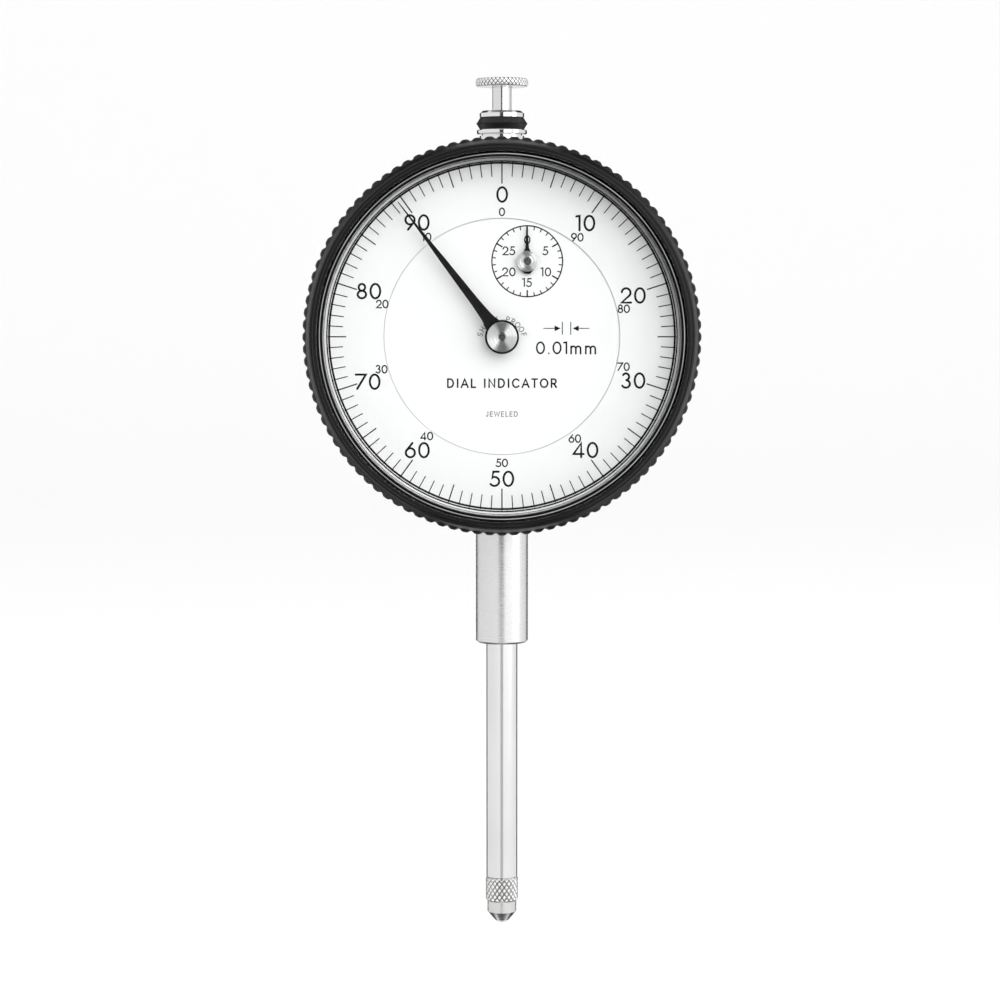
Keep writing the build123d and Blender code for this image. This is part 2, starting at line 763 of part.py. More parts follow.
def plate_pillars():
    """Four tapped pillars that space the two plates."""
    pillars = []
    for at in PILLARS:
        low, high = REAR_PLATE_LAYER[1], FRONT_PLATE_LAYER[0]
        pillar = disc(PILLAR_R, low, high, at)
        pillar += disc(PILLAR_HOLE_R - FIT, low - 1.0, low, at)
        pillar -= disc(PLATE_SCREW_R + 0.01, high - PILLAR_TAPPED_DEPTH, high + 1, at)
        pillars.append(FRONT * pillar)
    return Compound(pillars)


def slotted_screws(places, shank_r, head_r, under, shank, head):
    """Slotted screws at several places, with their heads standing above a face."""
    screws = []
    for x, y in places:
        screw = disc(shank_r, under - shank, under, (x, y))
        screw += disc(head_r, under, under + head, (x, y))
        screw -= block(
            (x - 2 * head_r, x + 2 * head_r),
            (y - 0.12, y + 0.12),
            (under + head / 2, under + head + 1),
        )
        screws.append(FRONT * screw)
    return Compound(screws)


def plate_screws():
    """Four screws that hold the front plate to the pillars."""
    return slotted_screws(
        PILLARS,
        PLATE_SCREW_R,
        PLATE_SCREW_HEAD_R,
        FRONT_PLATE_LAYER[1],
        PLATE_SCREW_LENGTH,
        PLATE_SCREW_HEAD,
    )


def movement_screws():
    """Four screws that hold the rear plate to the case's bosses."""
    places = [polar(BOSS_CENTRE_R, math.radians(angle)) for angle in BOSS_ANGLES]
    return slotted_screws(
        places,
        BOSS_HOLE_R - FIT,
        MOVEMENT_SCREW_HEAD_R,
        REAR_PLATE_LAYER[1],
        MOVEMENT_SCREW_LENGTH,
        MOVEMENT_SCREW_HEAD,
    )


def jewels(bearings):
    """Ruby rings that carry the arbors' pivots."""
    rings = []
    for item in bearings:
        low, high = item["layer"]
        rings.append(FRONT * tube(JEWEL_R, PIVOT_R + FIT, low, high, item["at"]))
    return Compound(rings)


# Wheels and arbors


def arbor(at, body_r, body, pivots):
    """Round arbor: a body between two heights and a thin pivot past each end."""
    shaft = disc(body_r, body[0], body[1], at)
    for low, high in pivots:
        shaft += disc(PIVOT_R, low, high, at)
    return shaft


CENTRE_PHASE = 0.0
DRIVE_PHASE = meshing_phase(CENTRE_PHASE, CENTRE_TEETH, DRIVE_TEETH, direction((0, 0), DRIVE_AT))
TAKEUP_PHASE = meshing_phase(CENTRE_PHASE, CENTRE_TEETH, DRIVE_TEETH, direction((0, 0), TAKEUP_AT))
IDLER_PHASE = meshing_phase(CENTRE_PHASE, CENTRE_TEETH, IDLER_TEETH, direction((0, 0), IDLER_AT))
IDLER_PINION_PHASE = direction(IDLER_AT, COUNTER_AT)
COUNTER_PHASE = meshing_phase(
    IDLER_PINION_PHASE, IDLER_PINION_TEETH, COUNTER_TEETH, direction(IDLER_AT, COUNTER_AT)
)


def drive_arbor():
    """Arbor with the sixteen-leaf pinion that the rack turns."""
    low = BRIDGE_LAYER[1] + PIVOT_GAP
    shaft = arbor(DRIVE_AT, DRIVE_ARBOR_R, (low, FRONT_PIVOT[0]), [(low - 1.0, low), FRONT_PIVOT])
    pinion = gear(RACK_PINION_TEETH, RACK_MODULE, 0.0, RACK_PINION_LAYER, DRIVE_AT)
    return FRONT * (shaft + pinion)


def wheel(teeth, phase, layer, at, bore_r, hub, arms):
    """Spoked wheel with a hub on its front face, given as its radius and its top."""
    low, high = layer
    hub_r, hub_high = hub
    rim_r = teeth * MODULE / 2 - RIM_WIDTH
    body = gear(teeth, MODULE, phase, layer, at)
    body -= crossed_out(rim_r, hub_r + HUB_MARGIN, layer, at, arms)
    body += disc(hub_r, low, hub_high, at)
    body -= disc(bore_r, low - 1, hub_high + 1, at)
    return FRONT * body


def drive_gear():
    """Hundred-tooth wheel on the drive arbor."""
    return wheel(DRIVE_TEETH, DRIVE_PHASE, DRIVE_LAYER, DRIVE_AT, DRIVE_ARBOR_R, DRIVE_HUB, 4)


def centre_arbor():
    """Pointer arbor with its ten-leaf pinion."""
    shaft = arbor((0, 0), THROUGH_R, (REAR_PIVOT[1], POINTER_TOP), [REAR_PIVOT])
    pinion = gear(CENTRE_TEETH, MODULE, CENTRE_PHASE, CENTRE_PINION_LAYER)
    return FRONT * (shaft + pinion)


def takeup_arbor():
    """Arbor of the take-up wheel, with the hairspring's collet."""
    shaft = arbor(TAKEUP_AT, THROUGH_R, (REAR_PIVOT[1], FRONT_PIVOT[0]), [REAR_PIVOT, FRONT_PIVOT])
    return FRONT * shaft


def takeup_gear():
    """Hundred-tooth wheel that keeps the train loaded one way."""
    return wheel(DRIVE_TEETH, TAKEUP_PHASE, TAKEUP_LAYER, TAKEUP_AT, THROUGH_R, TAKEUP_HUB, 4)


def hairspring_collet():
    """Split collet on the take-up arbor that holds the hairspring's inner end."""
    collet = tube(COLLET_R, THROUGH_R, *COLLET_LAYER, TAKEUP_AT)
    x, y = TAKEUP_AT
    collet -= block((x, x + 2), (y - 0.1, y + 0.1), (6, 8))
    return FRONT * collet


def hairspring_side(offset):
    """One side of the hairspring: half circles whose centres alternate, outwards."""
    edges = []
    step = HAIRSPRING_PITCH / 2
    x = HAIRSPRING_START_R + offset
    for half in range(2 * HAIRSPRING_TURNS):
        side = 1 if half % 2 == 0 else -1
        radius = HAIRSPRING_START_R + offset + step * (half + 0.5)
        centre = x - side * radius
        edges.append(ThreePointArc((x, 0), (centre, side * radius), (centre - side * radius, 0)))
        x = centre - side * radius
    return edges, x


def hairspring():
    """Flat spiral spring from the collet to its stud."""
    inner, inner_end = hairspring_side(0)
    outer, outer_end = hairspring_side(HAIRSPRING_THICKNESS)
    start = Line((HAIRSPRING_START_R, 0), (HAIRSPRING_START_R + HAIRSPRING_THICKNESS, 0))
    end = Line((inner_end, 0), (outer_end, 0))
    face = make_face([start, *outer, end, *inner])
    low, high = HAIRSPRING_LAYER
    spring = extrude(face, high - low)
    return FRONT * (Pos(TAKEUP_AT[0], TAKEUP_AT[1], low) * spring)


def hairspring_stud():
    """Pin under the front plate that holds the hairspring's outer end."""
    x = TAKEUP_AT[0] + HAIRSPRING_START_R + HAIRSPRING_PITCH * HAIRSPRING_TURNS
    x += STUD_R + HAIRSPRING_THICKNESS
    return FRONT * disc(STUD_R, HAIRSPRING_LAYER[0], FRONT_PLATE_LAYER[0], (x, TAKEUP_AT[1]))


def idler_arbor():
    """Arbor with the twelve-leaf pinion that turns the counter wheel."""
    shaft = arbor(IDLER_AT, THROUGH_R, (REAR_PIVOT[1], FRONT_PIVOT[0]), [REAR_PIVOT, FRONT_PIVOT])
    pinion = gear(IDLER_PINION_TEETH, MODULE, IDLER_PINION_PHASE, IDLER_PINION_LAYER, IDLER_AT)
    return FRONT * (shaft + pinion)


def idler_gear():
    """Sixty-tooth wheel driven by the centre pinion."""
    return wheel(IDLER_TEETH, IDLER_PHASE, IDLER_LAYER, IDLER_AT, THROUGH_R, IDLER_HUB, 3)


def counter_arbor():
    """Arbor of the turn counter."""
    return FRONT * arbor(COUNTER_AT, THROUGH_R, (REAR_PIVOT[1], COUNTER_TOP), [REAR_PIVOT])


def counter_gear():
    """Sixty-tooth wheel on the counter arbor."""
    return wheel(COUNTER_TEETH, COUNTER_PHASE, TAKEUP_LAYER, COUNTER_AT, THROUGH_R, COUNTER_HUB, 3)


# Pointers


def needle(stations, layer):
    """Tapered blade along +x from (reach, half width) stations, mirrored about its length."""
    upper = [(r, w) for r, w in stations]
    lower = [(r, -w) for r, w in reversed(stations)]
    outline = make_face(Polyline(*upper, *lower, close=True))
    return Pos(0, 0, layer[0]) * extrude(outline, layer[1] - layer[0])


def pointer():
    """Long pointer: a blade flaring into a round collar."""
    blade = needle(POINTER_STATIONS, POINTER_LAYER)
    body = Rot(0, 0, math.degrees(POINTER_ANGLE)) * blade
    body += disc(POINTER_COLLAR_R, *POINTER_COLLAR_LAYER) + disc(POINTER_HUB_R, *POINTER_HUB_LAYER)
    body -= disc(THROUGH_R, 10, 14)
    return FRONT * body


def pointer_cap():
    """Turned cap on the pointer's collar."""
    cap = turned_about_z(
        [
            (CAP_BORE_R, POINTER_CAP_LOW),
            (POINTER_CAP_R, POINTER_CAP_LOW),
            (POINTER_CAP_R, POINTER_CAP_HIGH - CAP_EDGE),
            (POINTER_CAP_R - CAP_EDGE, POINTER_CAP_HIGH),
            (CAP_BORE_R + 0.22, POINTER_CAP_HIGH),
            (CAP_BORE_R, POINTER_CAP_HIGH - 0.2),
        ]
    )
    return FRONT * cap


def counter_pointer():
    """Short pointer of the turn counter, with a stub tail."""
    body = needle(COUNTER_POINTER_STATIONS, COUNTER_POINTER_LAYER)
    body = Rot(0, 0, math.degrees(COUNTER_POINTER_ANGLE)) * body
    body += disc(COUNTER_POINTER_HUB_R, COUNTER_POINTER_HUB_LOW, COUNTER_POINTER_LAYER[0])
    body = Pos(*COUNTER_AT, 0) * body
    body -= disc(THROUGH_R, 10, 12, COUNTER_AT)
    return FRONT * body


def counter_cap():
    """Turned cap on the counter pointer."""
    cap = turned_about_z(
        [
            (CAP_BORE_R, COUNTER_CAP_LOW),
            (COUNTER_CAP_R, COUNTER_CAP_LOW),
            (COUNTER_CAP_R, COUNTER_CAP_HIGH - CAP_EDGE),
            (COUNTER_CAP_R - CAP_EDGE, COUNTER_CAP_HIGH),
            (CAP_BORE_R + 0.12, COUNTER_CAP_HIGH),
            (CAP_BORE_R, COUNTER_CAP_HIGH - 0.12),
        ]
    )
    return FRONT * (Pos(*COUNTER_AT, 0) * cap)


# Dials, bezel and crystal


def centre_dial():
    """Fixed centre plate of the dial, on two feet."""
    low, high = CENTRE_DIAL_LAYER
    dial = disc(CENTRE_DIAL_R, low, high)
    for at in DIAL_FEET:
        dial += disc(DIAL_FOOT_R, FRONT_PLATE_LAYER[0], low, at)
    dial -= disc(DIAL_HOLE_R, low - 1, high + 1)
    dial -= disc(COUNTER_HOLE_R, low - 1, high + 1, COUNTER_AT)
    return FRONT * dial


def dial_ring():
    """Graduated ring that turns with the bezel."""
    return FRONT * tube(DIAL_RING_R, CENTRE_DIAL_R + DIAL_RING_GAP, *DIAL_RING_LAYER)


def serrated_outline():
    """Face with a rounded tooth for each graduation around the bezel's edge."""
    pitch = 2 * math.pi / BEZEL_SERRATIONS
    valley_r = BEZEL_R - SERRATION_DEPTH
    crest_half, flank = SERRATION_CREST_SHARE * pitch, SERRATION_FLANK_SHARE * pitch
    edges = []
    for i in range(BEZEL_SERRATIONS):
        middle = i * pitch
        rise, top = middle - crest_half, middle + crest_half
        crest_edge_r = BEZEL_R - SERRATION_CREST_DROP
        start = polar(valley_r, middle - pitch / 2 + flank)
        edges.append(Line(start, polar(crest_edge_r, rise)))
        crest = polar(BEZEL_R, middle)
        edges.append(ThreePointArc(polar(crest_edge_r, rise), crest, polar(crest_edge_r, top)))
        fall = polar(valley_r, middle + pitch / 2 - flank)
        edges.append(Line(polar(crest_edge_r, top), fall))
        edges.append(Line(fall, polar(valley_r, middle + pitch / 2 + flank)))
    return make_face(edges)


def bezel():
    """Black ring that holds the crystal and the graduated ring, with a serrated edge."""
    ring = turned_about_z(BEZEL_PROFILE)
    edge = Pos(0, 0, 7) * extrude(serrated_outline(), 10)
    return FRONT * (ring & edge)


def crystal_gasket():
    """Black rubber ring under the crystal's rim."""
    return FRONT * tube(GASKET_RADII[1], GASKET_RADII[0], CRYSTAL_SEAT, CRYSTAL_LAYER[0])


def crystal():
    """Clear window with a short skirt that holds the graduated ring down."""
    low, high = CRYSTAL_LAYER
    inner_r, outer_r = CRYSTAL_SKIRT_RADII
    skirt_low = DIAL_RING_LAYER[1] + 0.05
    window = turned_about_z(
        [
            (0, low),
            (inner_r - CRYSTAL_EDGE, low),
            (inner_r, low - CRYSTAL_EDGE),
            (inner_r, skirt_low),
            (outer_r, skirt_low),
            (outer_r + 0.05, low),
            (CRYSTAL_R, low),
            (CRYSTAL_R, high - CRYSTAL_EDGE),
            (CRYSTAL_R - CRYSTAL_EDGE, high),
            (0, high),
        ]
    )
    return FRONT * window


def snap_ring():
    """Split ring that holds the bezel on the case's neck."""
    low, high = SNAP_RING_LAYER
    ring = tube(SNAP_RING_RADII[1], SNAP_RING_RADII[0], low, high)
    opening = block((-SNAP_RING_HALF_GAP, SNAP_RING_HALF_GAP), (-BEZEL_R, 0), (low - 1, high + 1))
    return FRONT * (ring - opening)


def bezel_washer():
    """Thin washer between the case's neck and the bezel."""
    return FRONT * tube(WASHER_RADII[1], WASHER_RADII[0], *WASHER_LAYER)


# Spindle and the pieces it carries


def rack_cutter():
    """Comb that cuts the rack's gaps, with one gap level with the drive arbor."""
    slope = math.tan(PRESSURE_ANGLE)
    tip_half = (RACK_PITCH + TOOTH_THINNING) / 4 + slope * ADDENDUM * RACK_MODULE
    root_half = (RACK_PITCH + TOOTH_THINNING) / 4 - slope * DEDENDUM * RACK_MODULE
    middles = [DRIVE_AT[1] - RACK_PITCH * (i - 2) for i in range(RACK_TEETH)]
    middles = [z for z in middles if z < RACK_TOP]
    back = RACK_TIP_X - 1.0
    points = [(back, middles[0] + RACK_PITCH)]
    points.append((RACK_TIP_X, middles[0] + RACK_PITCH))
    for z in middles:
        points += [(RACK_TIP_X, z + tip_half), (RACK_ROOT_X, z + root_half)]
        points += [(RACK_ROOT_X, z - root_half), (RACK_TIP_X, z - tip_half)]
    points += [(RACK_TIP_X, middles[-1] - RACK_PITCH), (back, middles[-1] - RACK_PITCH)]
    comb = extrude(make_face(Plane.XZ * Polyline(*points, close=True)), 4, both=True)
    return AXIS_UP * comb


def spindle():
    """Measuring spindle with its rack, its thin upper rod and the contact point's thread."""
    body = turned_about_spindle(
        [
            (CONTACT_THREAD_R, CONTACT_SHOULDER),
            (SPINDLE_R - 0.1, CONTACT_SHOULDER),
            (SPINDLE_R, CONTACT_SHOULDER + 0.1),
            (SPINDLE_R, SPINDLE_SHOULDER),
            (ROD_R, SPINDLE_SHOULDER),
            (ROD_R, KNOB_LOW),
            (KNOB_SCREW_R, KNOB_LOW),
            (KNOB_SCREW_R, KNOB_HIGH - 0.3),
            (0, KNOB_HIGH - 0.3),
            (0, CONTACT_SHOULDER + 5.2),
            (CONTACT_THREAD_R, CONTACT_SHOULDER + 5.0),
        ]
    )
    body -= rack_cutter()
    from_base = (Align.CENTER, Align.CENTER, Align.MIN)
    screw_hole = Pos(0, 0, ARM_Z) * Rot(0, 90, 0) * Cylinder(ARM_SCREW_R + 0.01, 2.0, align=from_base)
    body -= AXIS_UP * Pos(0.6, 0, 0) * screw_hole
    return body


def contact_point():
    """Interchangeable contact point: threaded shank, knurled grip and a cone that holds the ball."""
    cone_start = CONTACT_TIP + CONTACT_CONE_HEIGHT
    ball_centre = CONTACT_TIP + BALL_R
    cut_angle = math.radians(50)
    lip_z = ball_centre - BALL_R * math.cos(cut_angle)
    lip_r = BALL_R * math.sin(cut_angle)
    body = turned_about_spindle(
        [
            (0, ball_centre),
            (lip_r * 0.5, lip_z + 0.3),
            (lip_r, lip_z),
            (CONTACT_PLAIN_R, cone_start),
            (CONTACT_PLAIN_R, GRIP_LOW - 0.15),
            (GRIP_R, GRIP_LOW),
            (GRIP_R, CONTACT_SHOULDER - 0.25),
            (GRIP_R - 0.2, CONTACT_SHOULDER),
            (CONTACT_THREAD_R - FIT, CONTACT_SHOULDER),
            (CONTACT_THREAD_R - FIT, CONTACT_SHOULDER + CONTACT_THREAD_LENGTH),
            (0, CONTACT_SHOULDER + CONTACT_THREAD_LENGTH),
        ]
    )
    ball = Pos(0, 0, DIAL_HEIGHT + ball_centre) * Sphere(BALL_R)
    return body - ball


def contact_ball():
    """Carbide ball at the contact point's end."""
    return Pos(0, 0, DIAL_HEIGHT + CONTACT_TIP + BALL_R) * Sphere(BALL_R)


def lifting_knob():
    """Round knob on the spindle's upper end."""
    return turned_about_spindle(
        [
            (KNOB_SCREW_R, KNOB_LOW),
            (KNOB_R - KNOB_EDGE, KNOB_LOW),
            (KNOB_R - KNOB_SWELL, KNOB_LOW + KNOB_EDGE),
            (KNOB_R, (KNOB_LOW + KNOB_HIGH) / 2),
            (KNOB_R - KNOB_SWELL, KNOB_HIGH - KNOB_EDGE),
            (KNOB_R - KNOB_EDGE, KNOB_HIGH),
            (KNOB_SCREW_R, KNOB_HIGH),
        ]
    )


def guide_arm():
    """Block on the spindle's side that carries the guide pin and the spring's hook."""
    z = (ARM_Z - ARM_HALF_HEIGHT, ARM_Z + ARM_HALF_HEIGHT)
    arm = block((ARM_INNER_X, SPRING_X + ARM_END_MARGIN), ARM_Y, z)
    arm -= Cylinder(SPINDLE_R, 60)
    spring_y = -SPRING_DEPTH
    beyond = (GUIDE_X + ARM_TONGUE_FROM, SPRING_X + 3)
    arm -= block(beyond, (-3, spring_y - ARM_TONGUE_HALF), (z[0] - 1, z[1] + 1))
    arm -= block(beyond, (spring_y + ARM_TONGUE_HALF, 4), (z[0] - 1, z[1] + 1))
    arm -= Pos(GUIDE_X, 0, ARM_Z) * Rot(90, 0, 0) * Cylinder(GUIDE_PIN_R, 10)
    from_base = (Align.CENTER, Align.CENTER, Align.MIN)
    arm -= Pos(2.0, 0, ARM_Z) * Rot(0, 90, 0) * Cylinder(ARM_SCREW_R + 0.03, 6, align=from_base)
    arm -= Pos(SPRING_X, 0, ARM_Z - 0.4) * Rot(90, 0, 0) * Cylinder(SPRING_EYE_R, 10)
    return AXIS_UP * arm


def arm_screw():
    """Screw that holds the guide arm to the spindle."""
    shank = Rot(0, 90, 0) * Cylinder(
        ARM_SCREW_R, ARM_SCREW_LENGTH, align=(Align.CENTER, Align.CENTER, Align.MIN)
    )
    return AXIS_UP * (Pos(0.8, 0, ARM_Z) * shank)


def guide_pin():
    """Pin that runs in the guide rail's slot."""
    pin = Rot(-90, 0, 0) * Cylinder(
        GUIDE_PIN_R, GUIDE_PIN_LENGTH, align=(Align.CENTER, Align.CENTER, Align.MIN)
    )
    return AXIS_UP * (Pos(GUIDE_X, -1.4, ARM_Z) * pin)


def guide_rail():
    """Slotted rail on the cover side of the case; the ends of its slot stop the spindle."""
    rail = block(
        (GUIDE_X - RAIL_HALF_WIDTH, GUIDE_X + RAIL_HALF_WIDTH),
        RAIL_Y,
        (ARM_Z - RAIL_BELOW, ARM_Z + TRAVEL + RAIL_ABOVE),
    )
    half = GUIDE_PIN_R + 2 * FIT
    slot = block(
        (GUIDE_X - half, GUIDE_X + half),
        (RAIL_Y[0] - 1, RAIL_Y[0] + RAIL_SLOT_DEPTH),
        (ARM_Z - GUIDE_PIN_R - 0.05, ARM_Z + TRAVEL + GUIDE_PIN_R + 0.05),
    )
    return AXIS_UP * (rail - slot)


def spring_anchor():
    """Post on the rear plate that holds the return spring's lower end."""
    y = -SPRING_DEPTH
    low, high = SPRING_LOW - 1.5, SPRING_LOW + 0.4
    post = block(
        (SPRING_X - POST_HALF_WIDTH, SPRING_X + POST_HALF_WIDTH),
        (-REAR_PLATE_LAYER[0], y + 0.45),
        (low, high),
    )
    post -= Pos(SPRING_X, y, SPRING_LOW - 0.35) * Rot(90, 0, 0) * Cylinder(SPRING_EYE_R, 3)
    return AXIS_UP * post


def spring_hook(coil_end, height, far_end):
    """Wire from a coil's end to the coil's axis, and along the axis to the far end."""
    length = abs(far_end - height)
    low = min(far_end, height)
    along = (Align.CENTER, Align.CENTER, Align.MIN)
    radial = Rot(0, 90, coil_end) * Cylinder(SPRING_WIRE_R, SPRING_R, align=along)
    return Pos(0, 0, height) * radial + Pos(0, 0, low) * Cylinder(SPRING_WIRE_R, length, align=along)


def return_spring():
    """Extension spring that pulls the spindle down, with a straight hook at each end."""
    anchor_top, arm_bottom = SPRING_LOW + 0.4, ARM_Z - ARM_HALF_HEIGHT
    low, high = anchor_top + 0.7, arm_bottom - 0.7
    path = Helix(pitch=(high - low) / SPRING_TURNS, height=high - low, radius=SPRING_R)
    start = Plane(origin=path @ 0, z_dir=path % 0)
    coil = sweep(start * Circle(SPRING_WIRE_R), path=path, is_frenet=True)
    coil += spring_hook(0, 0, anchor_top - low)
    coil += spring_hook(0, high - low, arm_bottom - low - FIT)
    return Pos(SPRING_X, -SPRING_DEPTH, DIAL_HEIGHT + low) * coil


PIECES = {
    "case_body": case_body,
    "stem": stem,
    "stem_bush": stem_bush,
    "upper_bushing": upper_bushing,
    "seal_ring": seal_ring,
    "back_cover": back_cover,
    "cover_gasket": cover_gasket,
    "cover_screws": cover_screws,
    "mounting_lug": mounting_lug,
    "lug_screws": lug_screws,
    "rear_plate": rear_plate,
    "front_plate": front_plate,
    "pinion_bridge": pinion_bridge,
    "bridge_screw": bridge_screw,
    "plate_pillars": plate_pillars,
    "plate_screws": plate_screws,
    "movement_screws": movement_screws,
    "rear_jewels": lambda: jewels(REAR_BEARINGS + [bearing(DRIVE_AT, BRIDGE_LAYER)]),
    "front_jewels": lambda: jewels(FRONT_BEARINGS),
    "hairspring_stud": hairspring_stud,
    "hairspring": hairspring,
    "centre_dial": centre_dial,
    "snap_ring": snap_ring,
    "bezel_washer": bezel_washer,
    "guide_rail": guide_rail,
    "spring_anchor": spring_anchor,
    "return_spring": return_spring,
    "drive_arbor": drive_arbor,
    "drive_gear": drive_gear,
    "centre_arbor": centre_arbor,
    "pointer": pointer,
    "pointer_cap": pointer_cap,
    "takeup_arbor": takeup_arbor,
    "takeup_gear": takeup_gear,
    "hairspring_collet": hairspring_collet,
    "idler_arbor": idler_arbor,
    "idler_gear": idler_gear,
    "counter_arbor": counter_arbor,
    "counter_gear": counter_gear,
    "counter_pointer": counter_pointer,
    "counter_cap": counter_cap,
    "bezel": bezel,
    "crystal": crystal,
    "crystal_gasket": crystal_gasket,
    "dial_ring": dial_ring,
    "spindle": spindle,
    "contact_point": contact_point,
    "contact_ball": contact_ball,
    "lifting_knob": lifting_knob,
    "guide_arm": guide_arm,
    "arm_screw": arm_screw,
    "guide_pin": guide_pin,
}


def main():
    os.makedirs("parts", exist_ok=True)
    for name, make in PIECES.items():
        export_step(make(), os.path.join("parts", name + ".step"))


main()
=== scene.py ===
"""Looks of the dial indicator: knurls, serrations, printed dial, materials, light and camera.

Lengths in this file are millimetres in the dial's own frame, and place() turns them into metres:
the origin is the dial's centre on the spindle axis, x runs right, y up and z out of the dial.
"""

import json
import math

import bpy
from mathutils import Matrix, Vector


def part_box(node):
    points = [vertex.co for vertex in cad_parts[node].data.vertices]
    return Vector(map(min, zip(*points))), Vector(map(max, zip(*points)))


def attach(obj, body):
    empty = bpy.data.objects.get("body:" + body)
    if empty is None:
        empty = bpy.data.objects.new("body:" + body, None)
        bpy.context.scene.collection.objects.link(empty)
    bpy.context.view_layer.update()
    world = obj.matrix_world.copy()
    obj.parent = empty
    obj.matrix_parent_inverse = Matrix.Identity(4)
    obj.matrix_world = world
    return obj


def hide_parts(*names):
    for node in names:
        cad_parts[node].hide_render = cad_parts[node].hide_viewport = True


MM = 0.001
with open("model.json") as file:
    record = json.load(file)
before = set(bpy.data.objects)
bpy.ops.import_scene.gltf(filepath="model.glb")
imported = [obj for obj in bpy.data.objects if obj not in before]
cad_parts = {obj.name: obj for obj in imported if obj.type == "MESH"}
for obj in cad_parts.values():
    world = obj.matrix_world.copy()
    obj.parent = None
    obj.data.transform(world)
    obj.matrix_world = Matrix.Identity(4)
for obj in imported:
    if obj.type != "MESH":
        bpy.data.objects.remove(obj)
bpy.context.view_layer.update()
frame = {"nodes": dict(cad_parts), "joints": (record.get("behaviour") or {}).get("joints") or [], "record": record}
nodes = frame["nodes"]
joints = {joint["name"]: joint for joint in frame["joints"]}


# ---------------------------------------------------------------- places from the frame

DIAL_Z = joints["pointer_turn"]["pos_m"][2]
COUNTER_X = joints["counter_turn"]["pos_m"][0] / MM
COUNTER_Y = (joints["counter_turn"]["pos_m"][2] - DIAL_Z) / MM
TRAVEL_TURNS = 30


def place(x, y, z):
    """Point of the dial's frame, as metres in the row's frame."""
    return Vector((x * MM, -z * MM, DIAL_Z + y * MM))


def front_of(node):
    """Height of a node's front face above the spindle axis."""
    return -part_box(node)[0].y / MM


def back_of(node):
    """Height of a node's rear face above the spindle axis."""
    return -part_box(node)[1].y / MM


def span_of(node):
    """Lowest and highest point of a node along the spindle axis."""
    low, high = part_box(node)
    return (low.z - DIAL_Z) / MM, (high.z - DIAL_Z) / MM


def radius_of(node):
    """Largest radius of a node, from its width."""
    low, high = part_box(node)
    return (high.x - low.x) / 2 / MM


# ---------------------------------------------------------------- meshes


def make_piece(name, vertices, faces, body, material, sharp=None):
    """Mesh object that rides on a body. sharp is the angle above which an edge isn't smooth."""
    mesh = bpy.data.meshes.new(name)
    mesh.from_pydata(vertices, [], faces)
    mesh.validate()
    piece = bpy.data.objects.new(name, mesh)
    bpy.context.scene.collection.objects.link(piece)
    mesh.materials.append(material)
    if sharp is not None:
        mesh.shade_smooth()
        mesh.set_sharp_from_angle(angle=math.radians(sharp))
    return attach(piece, body)


CORNER_STEPS = 4
CORNER_SHARE = 0.45  # most of an edge that a rounded corner takes up


def rounded(points, radius):
    """Closed outline with every corner replaced by a small curve."""
    result = []
    for i, corner in enumerate(points):
        corner = Vector(corner)
        before = Vector(points[i - 1]) - corner
        after = Vector(points[(i + 1) % len(points)]) - corner
        cut = min(radius, CORNER_SHARE * before.length, CORNER_SHARE * after.length)
        start = corner + before.normalized() * cut
        end = corner + after.normalized() * cut
        for step in range(CORNER_STEPS + 1):
            t = step / CORNER_STEPS
            result.append(tuple(start * (1 - t) ** 2 + corner * 2 * t * (1 - t) + end * t**2))
    return result


def divided(points, length):
    """Closed outline whose long stretches are cut into pieces of at most a given length."""
    result = []
    for i, point in enumerate(points):
        start, end = Vector(point), Vector(points[(i + 1) % len(points)])
        pieces = max(1, math.ceil((end - start).length / length))
        result += [tuple(start.lerp(end, j / pieces)) for j in range(pieces)]
    return result


def turned(outline, segments, at, radial=None):
    """Vertices and faces of a turned shape.

    outline is a closed list of (radius, height). at(radius, angle, height) gives a point. radial,
    if given, is a function of (radius, angle, height) that gives the radius after knurling.
    """
    vertices = []
    for i in range(segments):
        angle = 2 * math.pi * i / segments
        for radius, height in outline:
            shown = radial(radius, angle, height) if radial else radius
            vertices.append(at(shown, angle, height))
    rows = len(outline)
    faces = []
    for i in range(segments):
        this, following = i * rows, (i + 1) % segments * rows
        for j in range(rows):
            k = (j + 1) % rows
            faces.append((this + j, following + j, following + k, this + k))
    return vertices, faces


def about_dial(radius, angle, height):
    """Point at an angle about the dial's axis; heights run out of the dial."""
    return place(radius * math.cos(angle), radius * math.sin(angle), height)


def about_spindle(radius, angle, height):
    """Point at an angle about the spindle's axis; heights run up the spindle."""
    return place(radius * math.sin(angle), height, radius * math.cos(angle))


# ---------------------------------------------------------------- strokes and glyphs


def arc(cx, cy, rx, ry, start, end, steps=28):
    """Points along an ellipse from one angle in degrees to another."""
    points = []
    for i in range(steps + 1):
        angle = math.radians(start + (end - start) * i / steps)
        points.append((cx + rx * math.cos(angle), cy + ry * math.sin(angle)))
    return points


def ring_points(cx, cy, rx, ry, steps=48):
    """Points around a whole ellipse, as a closed stroke."""
    return ("closed", arc(cx, cy, rx, ry, 90, 450, steps)[:-1])


def nine():
    """The six turned half round."""
    width, ((_, ring), stem) = GLYPHS["6"]
    ring, stem = [[(width - x, 1 - y) for x, y in points] for points in (ring, stem)]
    return width, [("closed", ring), stem]


POST = [(0.1, 0.05), (0.1, 0.95)]
BOWL = POST + arc(0.34, 0.70, 0.25, 0.25, 90, -90, 16) + [(0.1, 0.45)]

